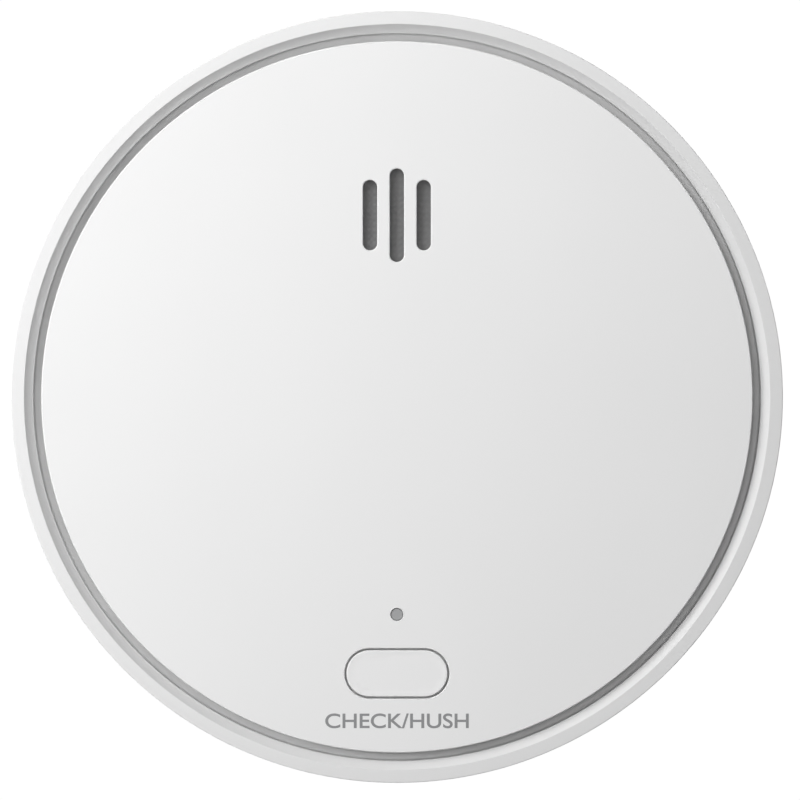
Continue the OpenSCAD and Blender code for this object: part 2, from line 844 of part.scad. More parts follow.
// Slider in the head's back that the bracket's fork moves to turn the alarm on
module power_slider() color([0.25, 0.25, 0.25]) {
    flange_z = floor_z + touch_gap;
    rotate(slider_angle) translate([slider_r, 0, 0]) {
        translate([-slider_l / 2, -slider_w / 2, knob_z])
            cube([slider_l, slider_w, flange_z - knob_z + join]);
        translate([-slider_l / 2 - slider_flange, -slider_w / 2 - slider_flange, flange_z])
            cube([slider_l + 2 * slider_flange, slider_w + 2 * slider_flange, slider_flange_t]);
        translate([-lever_w / 2, -lever_w / 2, flange_z + slider_flange_t - join])
            cube([lever_w, lever_w, lever_top_z - flange_z - slider_flange_t + join]);
    }
}

// Angle that a width takes up at the slider's radius
function slider_arc(width) = width * 180 / (PI * slider_r);

// Cross-section of the rear housing: back ring, recess wall, roof and locating wall
module rear_section() {
    ring_r = back_r - cover_wall - fit_gap;
    polygon([
        [0, roof_z],
        [recess_r, roof_z],
        [recess_r, back_z + bevel],
        [recess_r + bevel, back_z],
        [ring_r - bevel, back_z],
        [ring_r, back_z + bevel],
        [ring_r, floor_z - 1],
        [ring_r - 1.2, floor_z - 1],
        [ring_r - 1.2, back_z + shell_t],
        [recess_r + shell_t, back_z + shell_t],
        [recess_r + shell_t, floor_z],
        [0, floor_z]
    ]);
}

// Back of the head: bracket recess, bayonet lugs, board standoffs and battery cradle
module rear_housing() color("white") {
    difference() {
        union() {
            rotate_extrude() rear_section();
            for (i = [0:hook_count - 1])
                slab(lug_z, lug_t) ring_piece(lug_r, recess_r + join, lug_start + i * 360 / hook_count, lug_arc);
            for (angle = screw_angles)
                polar(screw_r, angle) post(pocket_d + 2 * pocket_wall, roof_z, pocket_top_z - roof_z);
            for (angle = board_screw_angles)
                polar(board_screw_r, angle) post(standoff_d, floor_z - join, standoff_h + join);
            battery_cradle();
            slab(floor_z - join, slider_flange_t + join) slider_rails();
        }
        for (angle = screw_angles) polar(screw_r, angle) {
            post(pocket_d, roof_z - 1, pocket_z - roof_z + 1);
            post(screw_d + 2 * fit_gap, pocket_z - 1, shell_t + 2);
        }
        for (angle = board_screw_angles)
            polar(board_screw_r, angle)
                post(board_screw_d + 2 * pilot_gap, board_top_z - board_screw_l - 0.4, board_screw_l);
        slab(roof_z - 1, shell_t + 2) ring_piece(
            slider_r - slider_l / 2 - slide_gap,
            slider_r + slider_l / 2 + slide_gap,
            180,
            lock_angle + slider_arc(slider_w + 2)
        );
    }
}

// Plan of the two rails beside the power slider's flange
module slider_rails() {
    half = slider_l / 2 + slider_flange + slide_gap;
    reach = lock_angle + slider_arc(slider_w + 2 * slider_flange + 2);
    outer = slider_r + half + rail_gap;
    inner = slider_r - half - 2 * rail_gap;
    ring_piece(outer, outer + rail_t, 180, reach);
    ring_piece(inner - rail_t, inner, 180, reach);
}

// Saddles and end walls that hold the cell
module battery_cradle() {
    end_y = cell_l / 2 + tab_t + cradle_gap;
    difference() {
        for (side = [-1, 1])
            translate([cell_x - saddle_w / 2, side * cell_l / 3 - cradle_t / 2, floor_z - join])
                cube([saddle_w, cradle_t, cradle_h + join]);
        cell_body(cell_d / 2 + 2 * touch_gap, cell_l);
    }
    for (side = [-1, 1])
        translate([cell_x - cradle_end_w / 2, side * (end_y + cradle_t / 2) - cradle_t / 2, floor_z - join])
            cube([cradle_end_w, cradle_t, cradle_h + join]);
}

// Cylinder round the cell's axis
module cell_body(r, length) {
    translate([cell_x, 0, cell_z]) rotate([90, 0, 0]) cylinder(r = r, h = length, center = true);
}

// Lithium cell lying in its cradle, its positive end towards +Y
module battery_cell() color("steelblue") {
    half = cell_l / 2;
    translate([cell_x, 0, cell_z]) rotate([-90, 0, 0]) rotate_extrude() polygon([
        [0, -half],
        [cell_d / 2 - 0.6, -half],
        [cell_d / 2, -half + 0.6],
        [cell_d / 2, half - cell_nub_l - 1],
        [cell_d / 2 - 1, half - cell_nub_l],
        [cell_nub_d / 2, half - cell_nub_l],
        [cell_nub_d / 2, half],
        [0, half]
    ]);
}

// Welded strips that join the cell's ends to the board
module battery_tabs() color("silver") {
    for (side = [-1, 1]) {
        translate([cell_x - tab_w / 2, side * (cell_l + tab_t) / 2 - tab_t / 2, board_top_z])
            cube([tab_w, tab_t, cell_z + tab_rise - board_top_z]);
        translate([cell_x - tab_w / 2, side * (cell_l + tab_l) / 2 - tab_l / 2, board_top_z])
            cube([tab_w, tab_l, tab_t]);
    }
}

// A chip with a row of flat leads on two sides, along X
module gull_chip(size, lead_count) {
    translate([-size[0] / 2, -size[1] / 2, board_top_z + chip_stand]) cube(size);
    half = lead_count / 2 - 1;
    reach = (size[1] + chip_lead[1]) / 2 - chip_lead[2];
    for (i = [0:half], side = [-1, 1])
        translate([(i - half / 2) * chip_lead_pitch, side * reach, board_top_z + chip_lead[2] / 2])
            cube(chip_lead, center = true);
}

// Microcontroller
module control_chip() color([0.15, 0.15, 0.15])
    translate(control_chip_at) gull_chip(control_chip_size, 16);

// Amplifier of the smoke signal
module sensor_chip() color([0.15, 0.15, 0.15])
    translate(sensor_chip_at) rotate(90) gull_chip(sensor_chip_size, 8);

// Coil that raises the sounder's voltage, on its ferrite core
module sounder_coil() color("saddlebrown") translate(coil_at) {
    post(coil_d, board_top_z, coil_rim_t);
    post(coil_core_d, board_top_z, coil_h);
    post(coil_d - coil_rim_t, board_top_z + coil_rim_t, coil_h - 2 * coil_rim_t);
    post(coil_d, board_top_z + coil_h - coil_rim_t, coil_rim_t);
}

// Electrolytic capacitors, each with a beaded foot
module capacitors() color("silver") {
    r = capacitor_d / 2;
    top_z = board_top_z + capacitor_h;
    for (spot = capacitor_at)
        translate(spot) rotate_extrude() polygon([
            [0, board_top_z],
            [r, board_top_z],
            [r, board_top_z + 3 * bevel],
            [r - bevel, board_top_z + 4 * bevel],
            [r, board_top_z + 5 * bevel],
            [r, top_z - bevel],
            [r - bevel, top_z],
            [0, top_z]
        ]);
}

// Small resistors and ceramic capacitors
module chip_parts() color([0.35, 0.3, 0.25]) {
    for (row = chip_rows, i = [0:row[2] - 1])
        translate([row[0], row[1], board_top_z]) rotate(row[3])
            translate([i * chip_part_pitch, 0, 0]) cube(chip_part_size);
}

// A pan-head screw pointing up, the underside of its head at z
module screw_up(d, length, head_d, head_h, z) {
    cross_l = head_d - 3 * cross_w;
    difference() {
        post(head_d, z - head_h, head_h);
        for (turn = [0, 90])
            rotate(turn) translate([-cross_l / 2, -cross_w / 2, z - head_h - 1])
                cube([cross_l, cross_w, cross_h + 1]);
    }
    post(d, z - head_h / 2, length + head_h / 2);
}

// Screws that hold the rear housing to the outer cover
module housing_screws() color("silver")
    for (angle = screw_angles)
        polar(screw_r, angle) screw_up(screw_d, screw_l, screw_head_d, screw_head_h, pocket_z);

// Screws that hold the board on its standoffs
module board_screws() color("silver")
    for (angle = board_screw_angles)
        polar(board_screw_r, angle) translate([0, 0, 2 * board_top_z]) mirror([0, 0, 1])
            screw_up(
                board_screw_d,
                board_screw_l,
                board_screw_head_d,
                board_screw_head_h,
                board_top_z
            );

// Plate that is screwed to the ceiling and carries the head
module mounting_bracket() color("white") {
    difference() {
        union() {
            rotate_extrude() polygon([
                [0, 0],
                [bracket_r - bevel, 0],
                [bracket_r, bevel],
                [bracket_r, bracket_t - bevel],
                [bracket_r - bevel, bracket_t],
                [0, bracket_t]
            ]);
            slab(bracket_t - join, rib_h + join)
                ring(hook_r - hook_t - rib_inset - rib_w, hook_r - hook_t - rib_inset);
            for (i = [0:hook_count - 1])
                rotate(lug_start + i * 360 / hook_count) bayonet_hook();
            slab(bracket_t - join, pad_t + join) screw_pads(pad_w);
            rotate(slider_angle) translate([slider_r, 0, 0]) slider_fork();
        }
        slab(-1, bracket_t + pad_t + 2) screw_pads(0);
        post(centre_hole_d, -1, bracket_t + 2);
    }
}

// Plan of the two screw slots along X and the two screw holes along Y, grown by a margin
module screw_pads(margin) {
    for (side = [-1, 1]) {
        translate([side * screw_pitch / 2, 0]) stadium(screw_slot_l + 2 * margin, screw_hole_d + 2 * margin);
        translate([0, side * screw_pitch / 2]) circle(d = screw_hole_d + 2 * margin);
    }
}

// Hook that the lug at angle 0 turns under, clockwise, with the stop that ends its turn
module bayonet_hook() {
    lip_start = -lug_arc / 2 - hook_clear_arc;
    lip_end = -lock_angle - lug_arc / 2 - hook_play_arc;
    arc = lip_start - lip_end;
    slab(bracket_t - join, lip_top_z - bracket_t + join)
        ring_piece(hook_r - hook_t, hook_r, (lip_start + lip_end) / 2, arc);
    slab(lip_z, lip_t)
        ring_piece(hook_r - join, bracket_r, (lip_start + lip_end) / 2, arc);
    slab(bracket_t - join, lip_top_z - bracket_t + join)
        ring_piece(hook_r - hook_t, bracket_r - bevel, lip_end - hook_stop_arc / 2, hook_stop_arc);
}

// Fork that holds the power slider while the head turns
module slider_fork() {
    gap = slider_w + 2 * slide_gap;
    for (side = [-1, 1])
        translate([-slider_l / 2, side * (gap + fork_t) / 2 - fork_t / 2, bracket_t - join])
            cube([slider_l, fork_t, fork_top_z - bracket_t + join]);
}

mounting_bracket();
power_slider();
rear_housing();
outer_cover();
face_plate();
test_button();
light_pipe();
dust_cloth();
resonator();
piezo_disc();
piezo_ceramic();
piezo_springs();
chamber_base();
chamber_cap();
insect_screen();
infrared_lamp();
light_receiver();
circuit_board();
button_switch();
switch_plunger();
status_lamp();
power_switch();
battery_cell();
battery_tabs();
control_chip();
sensor_chip();
sounder_coil();
capacitors();
chip_parts();
board_screws();
housing_screws();
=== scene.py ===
import json
import math
from types import SimpleNamespace

import bmesh
import bpy
from mathutils import Matrix, Vector


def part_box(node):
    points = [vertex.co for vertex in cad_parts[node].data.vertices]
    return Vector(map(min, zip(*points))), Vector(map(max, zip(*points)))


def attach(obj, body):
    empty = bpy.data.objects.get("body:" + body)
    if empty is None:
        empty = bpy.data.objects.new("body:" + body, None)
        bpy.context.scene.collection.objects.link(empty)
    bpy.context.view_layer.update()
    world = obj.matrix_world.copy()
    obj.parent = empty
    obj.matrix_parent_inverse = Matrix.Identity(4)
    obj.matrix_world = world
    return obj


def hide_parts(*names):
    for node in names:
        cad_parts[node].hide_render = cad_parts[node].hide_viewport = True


bl_info = {
    "name": "Ceiling Smoke Alarm",
    "version": (1, 0, 0),
    "blender": (4, 5, 0),
    "location": "3D View > Sidebar > Smoke Alarm",
    "description": "Gives the solid parts of a smoke alarm their finished shapes and materials",
    "category": "Add Mesh",
}

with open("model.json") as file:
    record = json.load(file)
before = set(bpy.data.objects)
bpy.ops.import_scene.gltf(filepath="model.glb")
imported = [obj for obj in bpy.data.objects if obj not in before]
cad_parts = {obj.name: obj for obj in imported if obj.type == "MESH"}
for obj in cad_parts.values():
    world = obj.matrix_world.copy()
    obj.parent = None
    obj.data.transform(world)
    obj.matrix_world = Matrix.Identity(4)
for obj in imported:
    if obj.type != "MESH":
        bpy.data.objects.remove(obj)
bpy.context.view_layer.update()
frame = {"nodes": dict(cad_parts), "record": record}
RECORD = frame["record"]
BODY_OF = {node: body for body, nodes in RECORD["behaviour"]["bodies"].items() for node in nodes}

MM = 0.001
WELD = 0.0005 * MM      # points closer than this are one point
SUPPORT = 0.05 * MM     # how far a support loop stands from a rounded edge
SMOOTH_ANGLE = math.radians(40)
WAVE = math.pi / 20     # a wave texture's scale for half a wave in each unit of length
CLOTH_THREAD = 0.45     # pitch in mm of the dust cloth's threads, as they are drawn
WHITE = (1, 1, 1, 1)


# ---------------------------------------------------------------- what a user would change


class HeadSizes(bpy.types.PropertyGroup):
    """Sizes of the cover and the face plate."""

    segments: bpy.props.IntProperty(
        name="Segments", description="Facets round a turned piece of the head", default=384, min=48
    )
    rim_width: bpy.props.FloatProperty(
        name="Rim land", description="Width of the rim's flat land",
        default=1.85 * MM, unit="LENGTH",
    )
    rim_fall: bpy.props.FloatProperty(
        name="Rim fall", description="Fall of the land to its outer edge",
        default=0.06 * MM, unit="LENGTH",
    )
    rim_edge: bpy.props.FloatProperty(
        name="Rim edge", description="Rounding of the rim's outer edge",
        default=0.12 * MM, unit="LENGTH",
    )
    rim_bevel: bpy.props.FloatProperty(
        name="Rim bevel", description="Width of the bevel inside the rim",
        default=1.3 * MM, unit="LENGTH",
    )
    rim_bevel_depth: bpy.props.FloatProperty(
        name="Bevel depth", description="Depth of the bevel inside the rim",
        default=1.4 * MM, unit="LENGTH",
    )
    side_draft: bpy.props.FloatProperty(
        name="Side draft", description="How far the side draws in at its back",
        default=1.4 * MM, unit="LENGTH",
    )
    wall: bpy.props.FloatProperty(
        name="Cover wall", description="Thickness of the cover's side",
        default=2.2 * MM, unit="LENGTH",
    )
    plate_thickness: bpy.props.FloatProperty(
        name="Plate", description="Thickness of the face plate", default=2 * MM, unit="LENGTH"
    )
    plate_edge: bpy.props.FloatProperty(
        name="Plate edge", description="Rounding of the face plate's edge",
        default=0.15 * MM, unit="LENGTH",
    )
    duct_height: bpy.props.FloatProperty(
        name="Duct", description="Height of the smoke duct at the plate's edge",
        default=2.4 * MM, unit="LENGTH",
    )
    deck_thickness: bpy.props.FloatProperty(
        name="Deck", description="Thickness of the deck under the duct",
        default=1.5 * MM, unit="LENGTH",
    )
    deck_fall: bpy.props.FloatProperty(
        name="Deck fall", description="Fall of the deck to the chamber",
        default=2.2 * MM, unit="LENGTH",
    )
    well_gap: bpy.props.FloatProperty(
        name="Well gap", description="Gap round the smoke chamber", default=2.5 * MM, unit="LENGTH"
    )
    well_wall: bpy.props.FloatProperty(
        name="Well wall", description="Wall of the chamber's well", default=1 * MM, unit="LENGTH"
    )
    post_count: bpy.props.IntProperty(
        name="Posts", description="Posts that carry the face plate", default=6, min=3
    )
    post_diameter: bpy.props.FloatProperty(
        name="Post", description="Diameter of a post", default=5 * MM, unit="LENGTH"
    )
    pin_diameter: bpy.props.FloatProperty(
        name="Snap pin", description="Diameter of the pin under a post",
        default=2.8 * MM, unit="LENGTH",
    )
    pin_length: bpy.props.FloatProperty(
        name="Pin length", description="Length of the pin under a post",
        default=4 * MM, unit="LENGTH",
    )
    screw_count: bpy.props.IntProperty(
        name="Back screws", description="Screws that hold the rear housing", default=3, min=2
    )
    screw_reach: bpy.props.FloatProperty(
        name="Screw reach", description="Distance of a back screw from the axis",
        default=40 * MM, unit="LENGTH",
    )
    screw_start: bpy.props.FloatProperty(
        name="Screw start", description="Direction of the first back screw",
        default=math.radians(50), subtype="ANGLE",
    )
    vane_count: bpy.props.IntProperty(
        name="Vanes", description="Guide vanes round the duct", default=40, min=3
    )
    vane_length: bpy.props.FloatProperty(
        name="Vane length", description="Length of a guide vane", default=2.8 * MM, unit="LENGTH"
    )
    vane_thickness: bpy.props.FloatProperty(
        name="Vane thickness", description="Thickness of a guide vane",
        default=1 * MM, unit="LENGTH",
    )


class FaceSizes(bpy.types.PropertyGroup):
    """Sizes and places of what the face plate carries."""

    slot_pitch: bpy.props.FloatProperty(
        name="Slot pitch", description="Distance between two sounder slots",
        default=3.83 * MM, unit="LENGTH",
    )
    slot_width: bpy.props.FloatProperty(
        name="Slot width", description="Width of a sounder slot", default=2 * MM, unit="LENGTH"
    )
    slot_long: bpy.props.FloatProperty(
        name="Long slot", description="Length of the middle slot", default=13.3 * MM, unit="LENGTH"
    )
    slot_short: bpy.props.FloatProperty(
        name="Short slots", description="Length of the outer slots", default=10 * MM, unit="LENGTH"
    )
    slot_edge: bpy.props.FloatProperty(
        name="Slot edge", description="Rounding of the slots' front edges",
        default=0.15 * MM, unit="LENGTH",
    )
    key_length: bpy.props.FloatProperty(
        name="Key length", description="Length of the test key's face",
        default=14.4 * MM, unit="LENGTH",
    )
    key_width: bpy.props.FloatProperty(
        name="Key width", description="Width of the test key's face",
        default=6.63 * MM, unit="LENGTH",
    )
    key_gap: bpy.props.FloatProperty(
        name="Key gap", description="Gap round the test key", default=0.26 * MM, unit="LENGTH"
    )
    key_edge: bpy.props.FloatProperty(
        name="Key edge", description="Rounding of the test key's edge",
        default=0.12 * MM, unit="LENGTH",
    )
    key_dish: bpy.props.FloatProperty(
        name="Key dish", description="How far the key's face lies below its lip",
        default=0.03 * MM, unit="LENGTH",
    )
    opening_edge: bpy.props.FloatProperty(
        name="Opening edge", description="Rounding of the key opening's edge",
        default=0.12 * MM, unit="LENGTH",
    )
    flange_width: bpy.props.FloatProperty(
        name="Key flange", description="Width of the flange round the key",
        default=1.5 * MM, unit="LENGTH",
    )
    lens_diameter: bpy.props.FloatProperty(
        name="Indicator", description="Diameter of the indicator window",
        default=1.7 * MM, unit="LENGTH",
    )
    label_text: bpy.props.StringProperty(
        name="Label", description="Word under the test key", default="CHECK/HUSH"
    )
    label_height: bpy.props.FloatProperty(
        name="Label height", description="Height of the label's capitals",
        default=2.12 * MM, unit="LENGTH",
    )
    label_width: bpy.props.FloatProperty(
        name="Label width", description="Length of the printed label",
        default=20.45 * MM, unit="LENGTH",
    )
    label_drop: bpy.props.FloatProperty(
        name="Label place", description="Distance of the label below the centre",
        default=46.15 * MM, unit="LENGTH",
    )
    ink_thickness: bpy.props.FloatProperty(
        name="Ink", description="Thickness of the printed ink", default=0.02 * MM, unit="LENGTH"
    )


class FinishColours(bpy.types.PropertyGroup):
    """Colours of the finishes, as sRGB hex values."""

    face_abs: bpy.props.StringProperty(
        name="Face", description="ABS of the face plate", default="EDEDED"
    )
    cover_abs: bpy.props.StringProperty(
        name="Cover", description="ABS of the cover", default="E6E6E6"
    )
    key_abs: bpy.props.StringProperty(
        name="Key", description="ABS of the test key", default="EBEBEB"
    )
    back_abs: bpy.props.StringProperty(
        name="Back", description="ABS of the back parts", default="E4E4E2"
    )
    slider: bpy.props.StringProperty(name="Slider", description="Power slider", default="4A4A4C")
    window: bpy.props.StringProperty(
        name="Window", description="Indicator window", default="AEAFB0"
    )
    cloth: bpy.props.StringProperty(
        name="Dust cloth", description="Cloth behind the slots", default="777777"
    )
    ink: bpy.props.StringProperty(name="Ink", description="Printed label", default="8E8F90")
    black: bpy.props.StringProperty(
        name="Black", description="ABS of the horn and switches", default="222224"
    )
    soot: bpy.props.StringProperty(
        name="Chamber", description="Styrene of the smoke chamber", default="141414"
    )
    brass: bpy.props.StringProperty(name="Brass", description="Sounder disc", default="D9B56C")
    silvered: bpy.props.StringProperty(
        name="Ceramic", description="Silvered sounder disc", default="DAD8D2"
    )
    nickel: bpy.props.StringProperty(
        name="Nickel", description="Screws, springs and tabs", default="D2D0CB"
    )
    steel: bpy.props.StringProperty(
        name="Steel", description="Etched insect screen", default="A6A7A9"
    )
    infrared: bpy.props.StringProperty(
        name="Infrared resin", description="Infrared lamp", default="262B4A"
    )
    filter: bpy.props.StringProperty(
        name="Filter resin", description="Light receiver", default="1B1B1E"
    )
    red: bpy.props.StringProperty(name="Red resin", description="Status lamp", default="D9503F")
    mask: bpy.props.StringProperty(
        name="Solder mask", description="Circuit board", default="1F6B3C"
    )
    sleeve: bpy.props.StringProperty(
        name="Sleeve", description="Battery cell's sleeve", default="3B5F8F"
    )
    epoxy: bpy.props.StringProperty(name="Chip resin", description="Chip cases", default="2A2A2C")
    copper: bpy.props.StringProperty(
        name="Copper", description="Wire of the coil", default="B4683A"
    )
    can: bpy.props.StringProperty(name="Can", description="Capacitor cans", default="D6D8DA")
    ceramic: bpy.props.StringProperty(
        name="Chip ceramic", description="Small parts", default="A08A70"
    )


class StageLook(bpy.types.PropertyGroup):
    """Camera, lights and floor of the studio."""

    camera_height: bpy.props.FloatProperty(
        name="Camera height", description="Height of the camera above the rim",
        default=4.0, unit="LENGTH",
    )
    view_width: bpy.props.FloatProperty(
        name="View width", description="Width of the view at the rim", default=0.114, unit="LENGTH"
    )
    camera_x: bpy.props.FloatProperty(
        name="Camera X", description="Sideways place of the camera",
        default=0.43 * MM, unit="LENGTH",
    )
    camera_y: bpy.props.FloatProperty(
        name="Camera Y", description="Place of the camera along Y",
        default=-0.43 * MM, unit="LENGTH",
    )
    key_height: bpy.props.FloatProperty(
        name="Key light height", description="Height of the key light", default=0.29, unit="LENGTH"
    )
    key_reach: bpy.props.FloatProperty(
        name="Key light reach", description="Distance of the key light from the axis",
        default=0.272, unit="LENGTH",
    )
    key_angle: bpy.props.FloatProperty(
        name="Key light angle", description="Direction of the key light",
        default=math.radians(148), subtype="ANGLE",
    )
    key_size: bpy.props.FloatProperty(
        name="Key light size", description="Side of the key light", default=0.4, unit="LENGTH"
    )
    key_power: bpy.props.FloatProperty(
        name="Key light power", description="Power of the key light", default=1.87, unit="POWER"
    )
    top_power: bpy.props.FloatProperty(
        name="Top light power", description="Power of the overhead light",
        default=21.3, unit="POWER",
    )
    top_height: bpy.props.FloatProperty(
        name="Top light height", description="Height of the overhead light",
        default=3.0, unit="LENGTH",
    )
    top_size: bpy.props.FloatProperty(
        name="Top light size", description="Side of the overhead light", default=1.1, unit="LENGTH"
    )
    floor_radius: bpy.props.FloatProperty(
        name="Floor radius", description="Radius of the white floor", default=4.0, unit="LENGTH"
    )
    floor_glow: bpy.props.FloatProperty(
        name="Floor glow", description="Radiance of the white floor", default=1.02
    )


# ---------------------------------------------------------------- small helpers


def linear(code):
    """An sRGB hex colour as linear RGBA."""
    parts = [int(code[i:i + 2], 16) / 255 for i in (0, 2, 4)]
    return (*[p / 12.92 if p <= 0.04045 else ((p + 0.055) / 1.055) ** 2.4 for p in parts], 1.0)


def made_once(kind):
    """Decorator: a tree or material is made at its first use, and found by its name later."""
    def wrap(make):
        def find(name, *values, **named):
            return getattr(bpy.data, kind).get(name) or make(name, *values, **named)
        return find
    return wrap


def add(tree, kind, settings=None, inputs=None):
    """Adds a node: settings are its own properties, an input is a value or a socket to link."""
    node = tree.nodes.new(kind)
    for name, value in (settings or {}).items():
        setattr(node, name, value)
    for name, value in (inputs or {}).items():
        if isinstance(value, bpy.types.NodeSocket):
            tree.links.new(value, node.inputs[name])
        else:
            node.inputs[name].default_value = value
    return node


def new_object(name, mesh):
    """Puts a mesh in the scene as an object at the origin."""
    obj = bpy.data.objects.new(name, mesh)
    bpy.context.scene.collection.objects.link(obj)
    return obj


def tidy_mesh(mesh, turn=True):
    """Merges doubles, drops loose edges, turns faces outwards and smooths all but sharp edges."""
    bm = bmesh.new()
    bm.from_mesh(mesh)
    bmesh.ops.remove_doubles(bm, verts=bm.verts, dist=WELD)
    loose = [e for e in bm.edges if not e.link_faces]
    bmesh.ops.delete(bm, geom=loose, context="EDGES")
    if turn:
        bmesh.ops.recalc_face_normals(bm, faces=bm.faces)
    bm.to_mesh(mesh)
    bm.free()
    mesh.shade_smooth()
    mesh.set_sharp_from_angle(angle=SMOOTH_ANGLE)


def evaluated_mesh(obj):
    """A plain mesh of an object as its modifiers leave it."""
    depsgraph = bpy.context.evaluated_depsgraph_get()
    return bpy.data.meshes.new_from_object(obj.evaluated_get(depsgraph), depsgraph=depsgraph)


def keep_result(obj):
    """Makes the result of an object's modifiers its own plain mesh."""
    mesh, old = evaluated_mesh(obj), obj.data
    obj.modifiers.clear()
    obj.data = mesh
    mesh.name = obj.name
    bpy.data.meshes.remove(old)
    return obj


def run_tree(obj, tree, values):
    """Gives an object a node tree with its input values, and keeps the result."""
    modifier = obj.modifiers.new(tree.name, "NODES")
    modifier.node_group = tree
    for item in tree.interface.items_tree:
        if item.item_type == "SOCKET" and item.in_out == "INPUT" and item.name in values:
            modifier[item.identifier] = values[item.name]
    keep_result(obj)
    tidy_mesh(obj.data)
    return obj


def new_tree(name, sockets):
    """A Geometry Nodes tree: geometry in and out, and further inputs as name, type and default."""
    tree = bpy.data.node_groups.new(name, "GeometryNodeTree")
    tree.is_modifier = True
    tree.interface.new_socket("Geometry", in_out="INPUT", socket_type="NodeSocketGeometry")
    tree.interface.new_socket("Geometry", in_out="OUTPUT", socket_type="NodeSocketGeometry")
    for title, kind, default in sockets:
        socket = tree.interface.new_socket(title, in_out="INPUT", socket_type=kind)
        if default is not None:
            socket.default_value = default
    return tree, add(tree, "NodeGroupInput").outputs


def end_tree(tree, geometry, material):
    """Ends a tree in Realize Instances and Set Material."""
    real = add(tree, "GeometryNodeRealizeInstances", inputs={0: geometry}).outputs[0]
    painted = add(tree, "GeometryNodeSetMaterial", inputs={
        "Geometry": real, "Material": material
    }).outputs[0]
    add(tree, "NodeGroupOutput", inputs={0: painted})
    return tree


@made_once("node_groups")
def lathe_tree(name):
    """Tree that turns an outline in XZ, the mesh's points in order, round the Z axis."""
    tree, given = new_tree(name, [
        ("Segments", "NodeSocketInt", 96),
        ("Material", "NodeSocketMaterial", None),
    ])
    outline, segments = given["Geometry"], given["Segments"]
    count = add(tree, "GeometryNodeAttributeDomainSize", inputs={0: outline}).outputs["Point Count"]
    columns = add(tree, "ShaderNodeMath", {"operation": "ADD"}, {0: segments, 1: 1.0}).outputs[0]
    rows = add(tree, "ShaderNodeMath", {"operation": "ADD"}, {0: count, 1: 1.0}).outputs[0]
    grid = add(tree, "GeometryNodeMeshGrid", inputs={
        "Vertices X": rows, "Vertices Y": columns
    }).outputs["Mesh"]
    index = add(tree, "GeometryNodeInputIndex").outputs[0]
    row = add(tree, "ShaderNodeMath", {"operation": "DIVIDE"}, {0: index, 1: columns}).outputs[0]
    row = add(tree, "ShaderNodeMath", {"operation": "FLOOR"}, {0: row}).outputs[0]
    row = add(tree, "ShaderNodeMath", {"operation": "MODULO"}, {0: row, 1: count}).outputs[0]
    turn = add(tree, "ShaderNodeMath", {"operation": "MODULO"}, {0: index, 1: columns}).outputs[0]
    turn = add(tree, "ShaderNodeMath", {"operation": "MODULO"}, {0: turn, 1: segments}).outputs[0]
    turn = add(tree, "ShaderNodeMath", {"operation": "DIVIDE"}, {0: turn, 1: segments}).outputs[0]
    turn = add(tree, "ShaderNodeMath", {"operation": "MULTIPLY"}, {0: turn, 1: math.tau}).outputs[0]
    place = add(tree, "GeometryNodeInputPosition").outputs[0]
    point = add(tree, "GeometryNodeSampleIndex", {"data_type": "FLOAT_VECTOR"}, {
        "Geometry": outline, "Value": place, "Index": row
    }).outputs[0]
    around = add(tree, "ShaderNodeVectorRotate", {"rotation_type": "Z_AXIS"}, {
        "Vector": point, "Angle": turn
    }).outputs[0]
    turned = add(tree, "GeometryNodeSetPosition", inputs={
        "Geometry": grid, "Position": around
    }).outputs[0]
    closed = add(tree, "GeometryNodeMergeByDistance", inputs={
        "Geometry": turned, "Distance": WELD
    }).outputs[0]
    return end_tree(tree, closed, given["Material"])


@made_once("node_groups")
def ring_tree(name):
    """Tree that repeats the object's own mesh round the Z axis."""
    tree, given = new_tree(name, [
        ("Count", "NodeSocketInt", 12),
        ("Start", "NodeSocketFloat", 0.0),
        ("Material", "NodeSocketMaterial", None),
    ])
    count = given["Count"]
    spots = add(tree, "GeometryNodePoints", inputs={"Count": count}).outputs[0]
    index = add(tree, "GeometryNodeInputIndex").outputs[0]
    turn = add(tree, "ShaderNodeMath", {"operation": "DIVIDE"}, {0: index, 1: count}).outputs[0]
    turn = add(tree, "ShaderNodeMath", {"operation": "MULTIPLY_ADD"}, {
        0: turn, 1: math.tau, 2: given["Start"]
    }).outputs[0]
    angles = add(tree, "ShaderNodeCombineXYZ", inputs={"Z": turn}).outputs[0]
    copies = add(tree, "GeometryNodeInstanceOnPoints", inputs={
        "Points": spots, "Instance": given["Geometry"], "Rotation": angles
    }).outputs[0]
    return end_tree(tree, copies, given["Material"])


@made_once("node_groups")
def spring_tree(name):
    """Tree that makes a coil spring of round wire, standing on the XY plane."""
    tree, given = new_tree(name, [
        ("Radius", "NodeSocketFloat", 1.0),
        ("Wire", "NodeSocketFloat", 0.1),
        ("Length", "NodeSocketFloat", 5.0),
        ("Turns", "NodeSocketFloat", 5.0),
        ("Material", "NodeSocketMaterial", None),
    ])
    coil = add(tree, "GeometryNodeCurveSpiral", inputs={
        "Resolution": 24,
        "Rotations": given["Turns"],
        "Start Radius": given["Radius"],
        "End Radius": given["Radius"],
        "Height": given["Length"],
    }).outputs[0]
    section = add(tree, "GeometryNodeCurvePrimitiveCircle", inputs={
        "Resolution": 10, "Radius": given["Wire"]
    }).outputs[0]
    wire = add(tree, "GeometryNodeCurveToMesh", inputs={
        "Curve": coil, "Profile Curve": section, "Fill Caps": True
    }).outputs[0]
    return end_tree(tree, wire, given["Material"])


